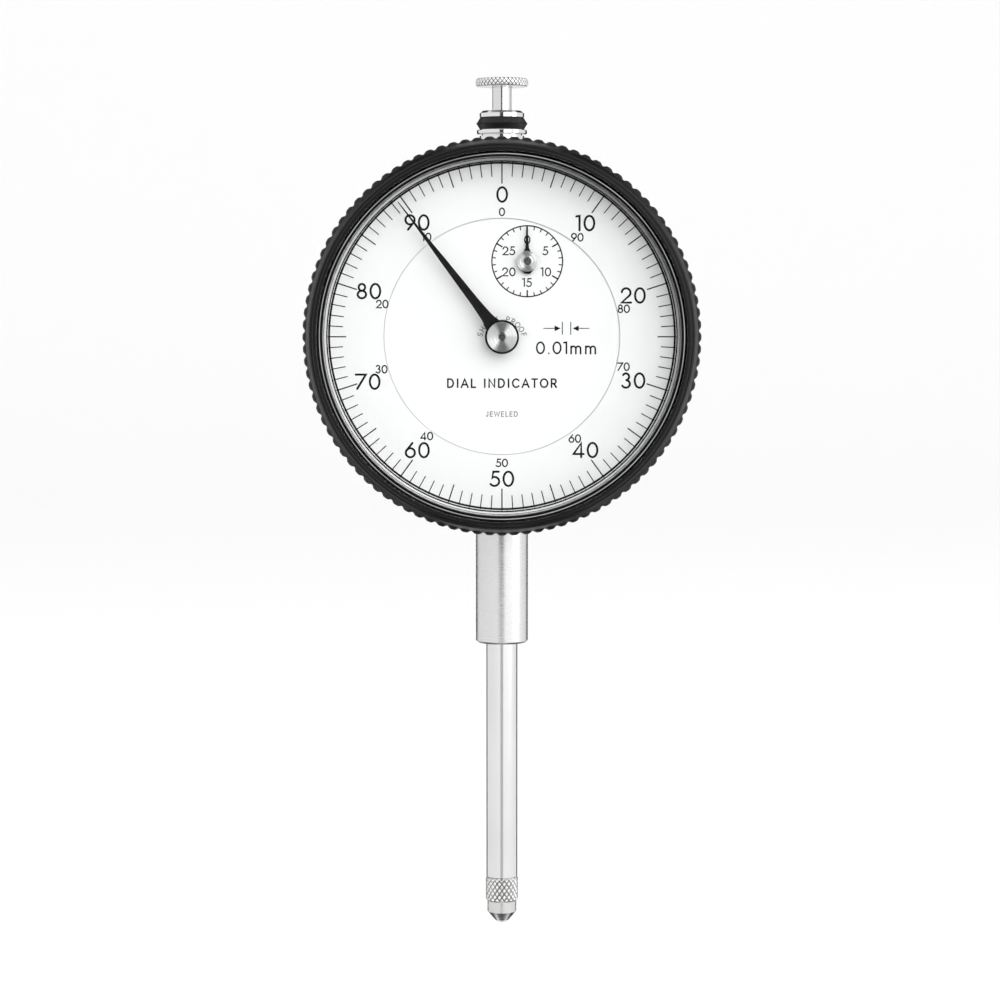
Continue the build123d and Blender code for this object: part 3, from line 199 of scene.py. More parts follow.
# Each glyph is (width, strokes), with a height of 1. A stroke is a list of points.
GLYPHS = {
    "0": (0.71, [ring_points(0.355, 0.5, 0.30, 0.447)]),
    "1": (0.30, [[(0.0, 0.915), (0.20, 0.947), (0.20, 0.053)]]),
    "2": (0.68, [arc(0.33, 0.665, 0.27, 0.282, 172, -35) + [(0.06, 0.053), (0.64, 0.053)]]),
    "3": (0.62, [
        arc(0.28, 0.735, 0.20, 0.212, 150, -80),
        arc(0.28, 0.288, 0.25, 0.235, 82, -152),
    ]),
    "4": (0.72, [[(0.67, 0.25), (0.04, 0.25), (0.52, 0.93), (0.52, 0.053)]]),
    "5": (0.63, [
        [(0.54, 0.947), (0.20, 0.947), (0.13, 0.56)] + arc(0.27, 0.335, 0.295, 0.282, 112, -146),
    ]),
    "6": (0.68, [ring_points(0.34, 0.335, 0.285, 0.282), [(0.47, 0.947), (0.10, 0.47)]]),
    "7": (0.70, [[(0.03, 0.947), (0.66, 0.947), (0.12, 0.053)]]),
    "8": (0.66, [
        ring_points(0.33, 0.735, 0.20, 0.212),
        ring_points(0.33, 0.288, 0.26, 0.235),
    ]),
    ".": (0.22, [[(0.11, 0.06), (0.11, 0.061)]]),
    " ": (0.35, []),
    "m": (0.98, [
        [(0.08, 0.62), (0.08, 0.03)],
        [(0.08, 0.40)] + arc(0.27, 0.42, 0.19, 0.20, 170, 0, 14) + [(0.46, 0.03)],
        [(0.46, 0.40)] + arc(0.65, 0.42, 0.19, 0.20, 170, 0, 14) + [(0.84, 0.03)],
    ]),
    "A": (0.80, [[(0.04, 0.04), (0.40, 0.95), (0.76, 0.04)], [(0.17, 0.34), (0.63, 0.34)]]),
    "C": (0.84, [arc(0.46, 0.5, 0.38, 0.45, 42, 318)]),
    "D": (0.80, [POST + arc(0.34, 0.5, 0.36, 0.45, 90, -90) + [(0.1, 0.05)]]),
    "E": (0.62, [
        [(0.54, 0.95), (0.1, 0.95), (0.1, 0.05), (0.54, 0.05)],
        [(0.1, 0.52), (0.48, 0.52)],
    ]),
    "F": (0.60, [[(0.54, 0.95), (0.1, 0.95), (0.1, 0.05)], [(0.1, 0.52), (0.46, 0.52)]]),
    "H": (0.78, [POST, [(0.68, 0.05), (0.68, 0.95)], [(0.1, 0.5), (0.68, 0.5)]]),
    "I": (0.24, [[(0.12, 0.05), (0.12, 0.95)]]),
    "J": (0.50, [[(0.38, 0.95), (0.38, 0.26)] + arc(0.21, 0.24, 0.17, 0.19, 0, -160, 14)]),
    "K": (0.72, [POST, [(0.62, 0.95), (0.12, 0.46)], [(0.26, 0.58), (0.66, 0.05)]]),
    "L": (0.56, [[(0.1, 0.95), (0.1, 0.05), (0.52, 0.05)]]),
    "N": (0.80, [POST + [(0.70, 0.05), (0.70, 0.95)]]),
    "O": (0.92, [ring_points(0.46, 0.5, 0.39, 0.45)]),
    "P": (0.64, [BOWL]),
    "R": (0.70, [BOWL, [(0.36, 0.45), (0.62, 0.05)]]),
    "S": (0.64, [
        arc(0.32, 0.725, 0.23, 0.225, 35, 262, 20) + arc(0.32, 0.275, 0.25, 0.225, 82, -145, 20),
    ]),
    "T": (0.66, [[(0.04, 0.95), (0.62, 0.95)], [(0.33, 0.95), (0.33, 0.05)]]),
    "W": (1.10, [[(0.04, 0.95), (0.30, 0.05), (0.55, 0.90), (0.80, 0.05), (1.06, 0.95)]]),
}
GLYPHS["9"] = nine()
LETTER_GAP = 0.16
INK_THICKNESS = 0.012
CAP_STEPS = 4
CAP_TURN = math.pi / 2 * 0.98  # a little under a right angle, so the last edge keeps a width
MITRE_LIMIT = 0.5  # least cosine that a bend's width is divided by


class Ink:
    """Printed marks on a flat face of the dial, gathered into one mesh."""

    def __init__(self, height, thickness=INK_THICKNESS):
        self.low = height
        self.high = height + thickness
        self.vertices = []
        self.faces = []

    def sections(self, points, width, closed):
        """Pairs of edge points along a stroke, with round ends on an open one."""
        count = len(points)
        pairs = []
        for i, point in enumerate(points):
            point = Vector(point)
            before = Vector(points[i - 1]) if closed or i else None
            after = Vector(points[(i + 1) % count]) if closed or i < count - 1 else None
            ahead = (after - point).normalized() if after else (point - before).normalized()
            behind = (point - before).normalized() if before else ahead
            along = (ahead + behind).normalized()
            side = Vector((-along.y, along.x))
            widen = 1 / max(MITRE_LIMIT, along.dot(ahead))
            pairs.append((point, side, along, width / 2 * widen))
        edges = [(p + s * w, p - s * w) for p, s, _, w in pairs]
        if closed:
            return edges
        start, end = [], []
        for step in range(1, CAP_STEPS + 1):
            angle = CAP_TURN * step / CAP_STEPS
            half, reach = width / 2 * math.cos(angle), width / 2 * math.sin(angle)
            p, s, a, _ = pairs[0]
            start.insert(0, (p - a * reach + s * half, p - a * reach - s * half))
            p, s, a, _ = pairs[-1]
            end.append((p + a * reach + s * half, p + a * reach - s * half))
        return start + edges + end

    def stroke(self, points, width, closed=False):
        """Adds a line of constant width through dial points, as a thin closed solid."""
        edges = self.sections(points, width, closed)
        base = len(self.vertices)
        for left, right in edges:
            for height in (self.high, self.low):
                self.vertices.append(place(left.x, left.y, height))
                self.vertices.append(place(right.x, right.y, height))
        count = len(edges)
        for i in range(count if closed else count - 1):
            a, b = base + 4 * i, base + 4 * ((i + 1) % count)
            self.faces.append((a, a + 1, b + 1, b))
            self.faces.append((a + 2, b + 2, b + 3, a + 3))
            self.faces.append((a, b, b + 2, a + 2))
            self.faces.append((a + 1, a + 3, b + 3, b + 1))
        if not closed:
            last = base + 4 * (count - 1)
            self.faces.append((base, base + 2, base + 3, base + 1))
            self.faces.append((last, last + 1, last + 3, last + 2))

    def polygon(self, points):
        """Adds a filled convex shape."""
        base, count = len(self.vertices), len(points)
        self.vertices += [place(x, y, self.high) for x, y in points]
        self.vertices += [place(x, y, self.low) for x, y in points]
        self.faces.append(tuple(range(base, base + count)))
        self.faces.append(tuple(range(base + 2 * count - 1, base + count - 1, -1)))
        for i in range(count):
            j = (i + 1) % count
            self.faces.append((base + i, base + count + i, base + count + j, base + j))

    def circle(self, cx, cy, radius, width, steps=240):
        """Adds a line around a circle."""
        self.stroke(arc(cx, cy, radius, radius, 0, 360, steps)[:-1], width, closed=True)

    def word(self, text, cx, cy, height, weight, gap=LETTER_GAP, turn=0.0):
        """Adds a word centred on a point, with letters of a given height."""
        widths = [GLYPHS[letter][0] for letter in text]
        x = -(sum(widths) + gap * (len(text) - 1)) / 2
        cos, sin = math.cos(turn), math.sin(turn)
        for letter, width in zip(text, widths):
            for stroke in GLYPHS[letter][1]:
                closed = stroke[0] == "closed"
                points = []
                for px, py in stroke[1] if closed else stroke:
                    u, v = (px + x) * height, (py - 0.5) * height
                    points.append((cx + u * cos - v * sin, cy + u * sin + v * cos))
                self.stroke(points, weight, closed)
            x += width + gap

    def finish(self, name, body, material):
        """Makes the marks one piece that rides on a body."""
        make_piece(name, self.vertices, self.faces, body, material)


def clock(cx, cy, radius, turn):
    """Point at a share of a turn clockwise from the top."""
    angle = 2 * math.pi * turn
    return (cx + radius * math.sin(angle), cy + radius * math.cos(angle))


# ---------------------------------------------------------------- knurls

KNOB_LOW, KNOB_HIGH = span_of("lifting_knob")
SHOULDER = span_of("spindle")[0]
GRIP_DEPTHS = (3.55, 0.25)  # below the spindle's shoulder
GRIP_LOW, GRIP_HIGH = (SHOULDER - depth for depth in GRIP_DEPTHS)

# Diamond knurls: lines each way round, turn per millimetre, groove's share, depth and middle
KNOB_MIDDLE = (KNOB_LOW + KNOB_HIGH) / 2
GRIP_MIDDLE = (GRIP_LOW + GRIP_HIGH) / 2
KNOB_KNURL = {"lines": 38, "lean": 0.20, "groove": 0.5, "depth": 0.12, "middle": KNOB_MIDDLE}
GRIP_KNURL = {"lines": 20, "lean": 0.30, "groove": 0.6, "depth": 0.2, "middle": GRIP_MIDDLE}


def knurl_depth(knurl, angle, height):
    """Depth of a diamond knurl at a point of the surface."""
    lean = knurl["lean"] * (height - knurl["middle"])
    waves = [abs(math.sin(knurl["lines"] / 2 * (angle + sign * lean))) for sign in (1, -1)]
    return knurl["depth"] * (1 - min(*waves, knurl["groove"]) / knurl["groove"])


# ---------------------------------------------------------------- materials

DIAL_CENTRE = (0, 0, DIAL_Z)
COUNTER_CENTRE = (COUNTER_X * MM, 0, DIAL_Z + COUNTER_Y * MM)
WAVE_UNIT = math.pi / 10  # scale at which a wave texture repeats once in a unit of length
TEXTURE_RANGE = (0.3, 0.7)  # where nearly all values of a noise texture lie
# Painted shade and highlight of the knurls: the colour is darkened in the grooves and lightened on the crests,
# over the grooves cut in the mesh
PAINTED_GROOVE_SHADE_FLOOR = 0.08  # a knurl's wave is dark up to here
PAINTED_GROOVE_SHADE_FLANK = 0.8  # share of the groove over which it turns light
# Painted reflection on the pointers' caps: how much of a point's offset from the centre is sideways, from the dark
# painted sectors to the light ones
PAINTED_REFLECTION_EDGE = (0.08, 0.42)  # share of a point's offset that is sideways, from dark to light
AVOID_ZERO = 0.01


def grey(tone):
    """Colour without a hue."""
    return (tone, tone, tone)


def per_mm(x, y, z):
    """Texture scale from counts per millimetre along each axis."""
    return (x / MM, y / MM, z / MM)


class Finish:
    """A material under construction: its Principled shader and the nodes that feed it."""

    def __init__(self, name, color, metallic=0.0, roughness=0.5, ior=None):
        self.material = bpy.data.materials.new(name)
        self.material.use_nodes = True
        self.tree = self.material.node_tree
        self.shader = self.tree.nodes["Principled BSDF"]
        self.output = self.tree.nodes["Material Output"]
        self.shader.inputs["Base Color"].default_value = (*color, 1)
        self.shader.inputs["Metallic"].default_value = metallic
        self.shader.inputs["Roughness"].default_value = roughness
        if ior is not None:
            self.shader.inputs["IOR"].default_value = ior
        self.height = None

    def node(self, kind, **settings):
        """New node of a kind, with its settings."""
        made = self.tree.nodes.new(kind)
        for key, value in settings.items():
            setattr(made, key, value)
        return made

    def link(self, source, target):
        """Joins an output to an input."""
        self.tree.links.new(source, target)

    def coordinates(self, scale, centre=(0, 0, 0)):
        """Object coordinates about a centre, stretched by a scale for each axis."""
        source = self.node("ShaderNodeTexCoord")
        mapping = self.node("ShaderNodeMapping")
        mapping.inputs["Scale"].default_value = scale
        mapping.inputs["Location"].default_value = [-c * s for c, s in zip(centre, scale)]
        self.link(source.outputs["Object"], mapping.inputs["Vector"])
        return mapping.outputs["Vector"]

    def axes(self, centre=DIAL_CENTRE):
        """Sockets of the distances from a centre along X, Y and Z, in millimetres."""
        parts = self.node("ShaderNodeSeparateXYZ")
        self.link(self.coordinates(per_mm(1, 1, 1), centre), parts.inputs["Vector"])
        return parts.outputs["X"], parts.outputs["Y"], parts.outputs["Z"]

    def noise(self, scale, detail=3.0):
        """Noise with a number of grains for each axis."""
        texture = self.node("ShaderNodeTexNoise")
        texture.inputs["Scale"].default_value = 1.0
        texture.inputs["Detail"].default_value = detail
        self.link(self.coordinates(scale), texture.inputs["Vector"])
        return texture.outputs["Fac"]

    def rings(self, axis, period, centre=(0, 0, 0), distortion=0.6):
        """Fine turned grooves about an axis through a centre, a period of millimetres apart."""
        wave = self.node("ShaderNodeTexWave", wave_type="RINGS", rings_direction=axis)
        wave.inputs["Scale"].default_value = WAVE_UNIT
        wave.inputs["Distortion"].default_value = distortion
        wave.inputs["Detail"].default_value = 2.0
        self.link(self.coordinates(per_mm(*[1 / period] * 3), centre), wave.inputs["Vector"])
        return wave.outputs["Fac"]

    def varied(self, socket, value, low, high):
        """Drives a shader input from a texture, between two values."""
        spread = self.node("ShaderNodeMapRange")
        spread.inputs["From Min"].default_value = TEXTURE_RANGE[0]
        spread.inputs["From Max"].default_value = TEXTURE_RANGE[1]
        spread.inputs["To Min"].default_value = low
        spread.inputs["To Max"].default_value = high
        self.link(value, spread.inputs["Value"])
        self.link(spread.outputs["Result"], self.shader.inputs[socket])

    def tinted(self, value, dark, light, between=TEXTURE_RANGE):
        """Drives the colour from a value: dark at the first end of a range, light at the other."""
        ramp = self.node("ShaderNodeValToRGB")
        for element, position, color in zip(ramp.color_ramp.elements, between, (dark, light)):
            element.position = position
            element.color = (*color, 1)
        self.link(value, ramp.inputs["Fac"])
        self.link(ramp.outputs["Color"], self.shader.inputs["Base Color"])

    def bumped(self, value, depth, strength=1.0):
        """Raises the surface by a texture, to a depth in millimetres."""
        bump = self.node("ShaderNodeBump")
        bump.inputs["Strength"].default_value = strength
        bump.inputs["Distance"].default_value = depth * MM
        self.link(value, bump.inputs["Height"])
        if self.height is not None:
            self.link(self.height, bump.inputs["Normal"])
        self.height = bump.outputs["Normal"]
        self.link(self.height, self.shader.inputs["Normal"])

    def maths(self, operation, first, second=None):
        """Value of a maths node whose inputs are sockets or numbers."""
        made = self.node("ShaderNodeMath", operation=operation)
        for i, value in enumerate([first] if second is None else [first, second]):
            if isinstance(value, (int, float)):
                made.inputs[i].default_value = value
            else:
                self.link(value, made.inputs[i])
        return made.outputs[0]

    def knurl_lines(self, knurl, dark, light):
        """Painted shade and highlight: darkens the colour in the grooves of a diamond knurl about the spindle axis
        and lightens it on the crests.
        """
        x, y, z = self.axes()
        angle = self.maths("ARCTAN2", x, self.maths("MULTIPLY", y, -1.0))
        lean = self.maths("MULTIPLY", self.maths("SUBTRACT", z, knurl["middle"]), knurl["lean"])
        waves = []
        for joined in ("ADD", "SUBTRACT"):
            turn = self.maths(joined, angle, lean)
            wave = self.maths("SINE", self.maths("MULTIPLY", turn, knurl["lines"] / 2))
            waves.append(self.maths("ABSOLUTE", wave))
        flank = (PAINTED_GROOVE_SHADE_FLOOR, knurl["groove"] * PAINTED_GROOVE_SHADE_FLANK)
        self.tinted(self.maths("MINIMUM", *waves), dark, light, flank)

    def only_between(self, low, high, plain):
        """Keeps the colour's pattern, such as a knurl's painted shade and highlight, between two heights on the
        spindle's axis.
        """
        z = self.axes()[2]
        above, under = self.maths("GREATER_THAN", z, low), self.maths("LESS_THAN", z, high)
        mix = self.node("ShaderNodeMix", data_type="RGBA")
        plain_input, pattern_input, result = mix.inputs[6], mix.inputs[7], mix.outputs[2]
        plain_input.default_value = (*plain, 1)
        self.link(self.shader.inputs["Base Color"].links[0].from_socket, pattern_input)
        self.link(self.maths("MULTIPLY", above, under), mix.inputs["Factor"])
        self.link(result, self.shader.inputs["Base Color"])

    def sectors(self, centre, dark, light):
        """Painted reflection: colour dark above and below a centre and light at its sides, standing in for what a
        spun face reflects.
        """
        x, _, z = self.axes(centre)
        across, up = self.maths("MULTIPLY", x, x), self.maths("MULTIPLY", z, z)
        whole = self.maths("ADD", self.maths("ADD", across, up), AVOID_ZERO)
        self.tinted(self.maths("DIVIDE", across, whole), dark, light, PAINTED_REFLECTION_EDGE)

    def brushed_about(self, axis, amount, rotation):
        """Stretches highlights across fine grooves that run around an axis."""
        tangent = self.node("ShaderNodeTangent", direction_type="RADIAL", axis=axis)
        self.shader.inputs["Anisotropic"].default_value = amount
        self.shader.inputs["Anisotropic Rotation"].default_value = rotation
        self.link(tangent.outputs["Tangent"], self.shader.inputs["Tangent"])


def ground(name, tone, roughness, lines=14.0, depth=0.0006):
    """Ground shaft: fine lines around the axis, a little lighter and darker along it."""
    finish = Finish(name, (tone, tone, tone * 1.01), 1.0, roughness)
    lay = finish.noise(per_mm(0.15, 0.15, lines), 4.0)
    cloud = finish.noise(per_mm(0.12, 0.12, 0.06), 2.0)
    finish.varied("Roughness", lay, roughness * 0.8, roughness * 1.25)
    finish.tinted(cloud, grey(tone * 0.95), grey(tone * 1.03))
    finish.bumped(lay, depth)
    return finish


def plated(name, tone, roughness):
    """Bright plated and turned metal."""
    finish = Finish(name, (tone, tone, tone * 1.01), 1.0, roughness)
    finish.bumped(finish.rings("Z", 0.16, distortion=1.5), 0.0006)
    finish.varied("Roughness", finish.noise(per_mm(2, 2, 2)), roughness * 0.7, roughness * 1.4)
    return finish


def grained(name, color, metallic, roughness, grain, depth, spread=0.08, ior=None):
    """Even surface with a fine grain in colour, roughness and height."""
    finish = Finish(name, color, metallic, roughness, ior)
    fine = finish.noise(per_mm(grain, grain, grain), 4.0)
    broad = finish.noise(per_mm(0.15, 0.15, 0.15), 3.0)
    finish.varied("Roughness", fine, roughness * 0.88, roughness * 1.12)
    dark, light = [[min(1, c * (1 + sign * spread)) for c in color] for sign in (-1, 1)]
    finish.tinted(broad, dark, light)
    finish.bumped(fine, depth)
    return finish


def spun(name, color, centre, dark, light):
    """Turned face with a painted reflection: dark sectors above and below its centre and light ones at its sides
    are painted into its colour.
    """
    finish = Finish(name, color, 1.0, 0.34)
    finish.sectors(centre, grey(dark), grey(light))
    finish.brushed_about("Y", 0.9, 0.25)
    return finish


def bezel_black():
    """Black anodised aluminium with fine turned grooves."""
    finish = grained("satin_black_anodised", (0.003, 0.003, 0.0033), 0.0, 0.3, 6, 0.0012, 0.15, 1.28)
    finish.bumped(finish.rings("Y", 0.14, DIAL_CENTRE), 0.0016)
    return finish


def stem_steel():
    """Ground steel of the clamping stem."""
    return ground("ground_stem_steel", 0.66, 0.29, depth=0.00008)


def spindle_steel():
    """Finely ground and polished steel of the spindle."""
    return ground("polished_spindle_steel", 0.70, 0.14, 20.0)


def contact_steel():
    """Hardened steel."""
    return ground("hardened_contact_steel", 0.55, 0.22)


def knurled_contact_steel():
    """Contact point: bright steel with painted shade in the grooves of its grip and a painted highlight on their
    crests.
    """
    finish = ground("knurled_contact_steel", 0.62, 0.24)
    finish.knurl_lines(GRIP_KNURL, grey(0.20), (0.74, 0.74, 0.73))
    finish.only_between(GRIP_LOW, GRIP_HIGH, (0.60, 0.60, 0.59))
    return finish


def knurled_nickel():
    """Lifting knob: bright nickel with painted shade in the grooves of its rim and a painted highlight on their
    crests.
    """
    edge = 0.06
    finish = plated("knurled_nickel", 0.70, 0.28)
    finish.knurl_lines(KNOB_KNURL, grey(0.02), grey(0.85))
    finish.only_between(KNOB_LOW + edge, KNOB_HIGH - edge, grey(0.70))
    return finish


def ball_carbide():
    """Polished carbide of the contact ball."""
    return plated("polished_carbide", 0.60, 0.08)


def bright_nickel():
    """Bright nickel plating."""
    return plated("bright_nickel", 0.74, 0.12)


def spun_cap():
    """Turned metal cap at the pointer's hub, with coarse and fine grooves and painted reflection sectors."""
    finish = spun("cap_metal_painted_reflection", grey(0.66), DIAL_CENTRE, 0.24, 0.80)
    finish.bumped(finish.rings("Y", 0.5, DIAL_CENTRE, 0.2), 0.02)
    finish.bumped(finish.rings("Y", 0.11, DIAL_CENTRE, 0.8), 0.004)
    return finish


def spun_small_cap():
    """Turned metal cap at the counter pointer's hub, with painted reflection sectors."""
    finish = spun("small_cap_metal_painted_reflection", (0.60, 0.60, 0.61), COUNTER_CENTRE, 0.30, 0.72)
    finish.bumped(finish.rings("Y", 0.45, COUNTER_CENTRE, 0.2), 0.06)
    return finish


def case_satin():
    """Satin plated casting of the case."""
    return grained("satin_plated_casting", (0.52, 0.52, 0.53), 1.0, 0.34, 5, 0.003)


def lug_steel():
    """Satin steel of the mounting lug."""
    return grained("satin_lug_steel", (0.50, 0.50, 0.51), 1.0, 0.3, 7, 0.002)


def screw_steel():
    """Bright steel of the screws."""
    return grained("bright_screw_steel", (0.55, 0.55, 0.56), 1.0, 0.22, 9, 0.001)


def pinion_steel():
    """Polished steel of pinions and arbors."""
    return grained("polished_pinion_steel", (0.60, 0.60, 0.61), 1.0, 0.15, 12, 0.0008)


def spring_steel():
    """Blue-grey spring wire."""
    return grained("spring_wire", (0.42, 0.42, 0.46), 1.0, 0.25, 12, 0.0008)


def plate_nickel():
    """Nickel plated movement plate."""
    return grained("nickel_plated_plate", grey(0.62), 1.0, 0.3, 8, 0.0015)


def movement_brass():
    """Grained brass of the plates and pillars."""
    return grained("grained_brass_plate", (0.76, 0.57, 0.26), 1.0, 0.32, 8, 0.0015)


def wheel_brass():
    """Polished brass of the wheels."""
    return grained("polished_wheel_brass", (0.80, 0.62, 0.30), 1.0, 0.2, 10, 0.0008)


def guide_bronze():
    """Turned bronze of the bushes."""
    return grained("turned_bronze", (0.62, 0.40, 0.20), 1.0, 0.26, 10, 0.001)


def black_rubber():
    """Black rubber of the seal and gaskets."""
    return grained("black_rubber_ring", grey(0.004), 0.0, 0.38, 8, 0.003, 0.2, 1.38)


def washer_plastic():
    """Slippery off-white plastic."""
    return grained("slippery_washer", (0.80, 0.80, 0.77), 0.0, 0.45, 6, 0.002)


def ruby():
    """Synthetic ruby of the jewels."""
    return grained("synthetic_ruby", (0.60, 0.02, 0.08), 0.0, 0.06, 3, 0.0003)


def dial_white():
    """Matt white paint of both dials."""
    return grained("matt_white_dial", grey(0.93), 0.0, 0.5, 9, 0.0012, 0.006)


def pointer_black():
    """Matt black paint of the pointers."""
    return grained("matt_black_paint", grey(0.003), 0.0, 0.55, 14, 0.0012, 0.2, 1.25)


def printed_black():
    """Black ink of the numbers and lines."""
    return grained("printed_black", grey(0.004), 0.0, 0.6, 16, 0.0006, 0.2, 1.3)


def printed_grey():
    """Grey ink of the small words."""
    return grained("printed_grey", grey(0.16), 0.0, 0.6, 16, 0.0006, 0.1)


def wall_satin():
    """Satin grey of the bezel's inner wall."""
    return grained("pale_satin_wall", grey(0.22), 0.0, 0.4, 8, 0.001)


def crystal_edge():
    """Grey of a painted highlight, standing in for the light that the crystal's polished edge catches."""
    return grained("painted_crystal_edge_highlight", grey(0.30), 0.0, 0.3, 10, 0.0006, 0.3)


def crystal_clear():
    """Clear polished window that lets lamps through to the dial."""
    finish = Finish("clear_crystal", (0.985, 0.99, 0.99), 0.0, 0.0, 1.49)
    finish.shader.inputs["Transmission Weight"].default_value = 1.0
    finish.bumped(finish.noise(per_mm(0.05, 0.05, 0.05), 1.0), 0.002, 0.3)
    path = finish.node("ShaderNodeLightPath")
    through = finish.node("ShaderNodeBsdfTransparent")
    mix = finish.node("ShaderNodeMixShader")
    finish.link(path.outputs["Is Shadow Ray"], mix.inputs["Fac"])
    finish.link(finish.shader.outputs["BSDF"], mix.inputs[1])
    finish.link(through.outputs["BSDF"], mix.inputs[2])
    finish.link(mix.outputs["Shader"], finish.output.inputs["Surface"])
    return finish


# The first lines are the record's slots; the last are looks that only some pieces have
MATERIAL_MAKERS = (
    bezel_black, stem_steel, spindle_steel, contact_steel, ball_carbide, bright_nickel, case_satin,
    lug_steel, screw_steel, pinion_steel, spring_steel, plate_nickel, movement_brass, wheel_brass,
    guide_bronze, black_rubber, washer_plastic, ruby, dial_white, pointer_black, crystal_clear,
    knurled_contact_steel, knurled_nickel, spun_cap, spun_small_cap, printed_black, printed_grey,
    wall_satin, crystal_edge,
)
# The pointers' caps take looks whose colour has painted reflection sectors
OWN_LOOKS = {"pointer_cap": "spun_cap", "counter_cap": "spun_small_cap"}


def make_materials():
    """Every material, by the name of the function that makes it."""
    return {maker.__name__: maker().material for maker in MATERIAL_MAKERS}


def paint_frame(materials):
    """Gives every CAD node the finished material of its slot, or its own look."""
    for part in frame["record"]["subparts"]:
        node = part["node"]
        material = materials[OWN_LOOKS.get(node, part["material_slot"])]
        for slot in nodes[node].material_slots:
            slot.material = material


# ---------------------------------------------------------------- pieces of the dial

DIVISIONS = 100
TICK_OUTER = 25.8
# By kind of tick: each tenth, each fifth and every other
TICK_INNER = {10: 22.7, 5: 23.2, 1: 23.73}
TICK_WIDTH = {10: 0.19, 5: 0.18, 1: 0.15}
# Painted shade: black line near the dial's edge, standing in for the dark line that refraction at the crystal's
# edge makes there
PAINTED_SHADE_LINE_R = 25.68
PAINTED_SHADE_LINE_WIDTH = 0.3
FINE_STEPS = 360

# Numbers: height, weight and any gap of their own, and each one's centre about the dial's centre
NUMBER_STYLE = (2.37, 0.32)
NUMBER_PLACES = {
    0: (0.03, 21.01),
    10: (12.4, 16.8),
    20: (19.47, 6.12),
    30: (19.53, -6.5),
    40: (12.45, -16.85),
    50: (0.02, -21.15),
    60: (-12.62, -16.87),
    70: (-19.95, -6.68),
    80: (-19.75, 6.76),
    90: (-12.58, 16.89),
}
REVERSE_STYLE = (1.22, 0.2, 0.1)
REVERSE_PLACES = {
    0: (0, 18.46),
    90: (11.16, 14.71),
    80: (18.07, 4.15),
    70: (18.05, -4.45),
    60: (10.85, -15.14),
    50: (0, -18.77),
    40: (-11.2, -14.77),
    30: (-17.9, -4.82),
    20: (-17.77, 4.85),
    10: (-11.15, 14.75),
}


def tick_kind(i):
    """Kind of the tick with an index: 10, 5 or 1."""
    return next(kind for kind in (10, 5, 1) if i % kind == 0)


def print_graduation(materials):
    """Ticks and large numbers of the turning ring, and a black line near its edge that is painted shade, standing
    in for the dark line refraction at the crystal's edge makes there.
    """
    ink = Ink(front_of("dial_ring"))
    for i in range(DIVISIONS):
        inner = clock(0, 0, TICK_INNER[tick_kind(i)], i / DIVISIONS)
        outer = clock(0, 0, TICK_OUTER, i / DIVISIONS)
        ink.stroke([inner, outer], TICK_WIDTH[tick_kind(i)])
    for value, (x, y) in NUMBER_PLACES.items():
        ink.word(str(value), x, y, *NUMBER_STYLE)
    # Painted shade at the dial's edge
    ink.circle(0, 0, PAINTED_SHADE_LINE_R, PAINTED_SHADE_LINE_WIDTH, FINE_STEPS)
    ink.finish("dial_graduation_and_painted_edge_shade", "bezel_group", materials["printed_black"])


def print_reverse_numbers(materials):
    """Small numbers of the turning ring that count the other way."""
    ink = Ink(front_of("dial_ring"))
    for value, (x, y) in REVERSE_PLACES.items():
        ink.word(str(value), x, y, *REVERSE_STYLE)
    ink.finish("dial_reverse_numbers", "bezel_group", materials["printed_black"])


# Painted highlight on the crystal's face near its edge
CRYSTAL_HIGHLIGHT_R = 26.84
CRYSTAL_HIGHLIGHT_WIDTH = 0.13
CRYSTAL_HIGHLIGHT_THICKNESS = 0.02


def mark_crystal_edge(materials):
    """Painted highlight: thin grey line on the crystal's face near its edge, standing in for the light its
    polished edge catches.
    """
    line = Ink(front_of("crystal"), CRYSTAL_HIGHLIGHT_THICKNESS)
    line.circle(0, 0, CRYSTAL_HIGHLIGHT_R, CRYSTAL_HIGHLIGHT_WIDTH, FINE_STEPS)
    line.finish("crystal_edge_painted_highlight_line", "bezel_group", materials["crystal_edge"])


WALL_R = (26.42, 26.49)
WALL_GAPS = (0.06, 0.05)  # above the dial ring and below the crystal's gasket
WALL_SHARP = 35


def make_inner_wall(materials):
    """Grey band on the bezel's inner wall, between the dial ring and the crystal's seat."""
    low = front_of("dial_ring") + WALL_GAPS[0]
    high = back_of("crystal_gasket") - WALL_GAPS[1]
    inner, outer = WALL_R
    outline = [(inner, low), (outer, low), (outer, high), (inner, high)]
    vertices, faces = turned(outline, FINE_STEPS, about_dial)
    make_piece(
        "bezel_inner_wall", vertices, faces, "bezel_group",
        materials["wall_satin"], WALL_SHARP,
    )


COUNTER_RING_R = 5.24
COUNTER_RING_WIDTH = 0.19
# Length and width of each fifth tick and of every other
COUNTER_TICKS = {True: (0.9, 0.22), False: (0.5, 0.16)}
COUNTER_STYLE = (1.28, 0.19, 0.14)
COUNTER_PLACES = {
    5: (2.70, 1.55),
    10: (2.79, -1.57),
    15: (0, -3.14),
    20: (-2.73, -1.57),
    25: (-2.73, 1.55),
    0: (0, 3.17),
}


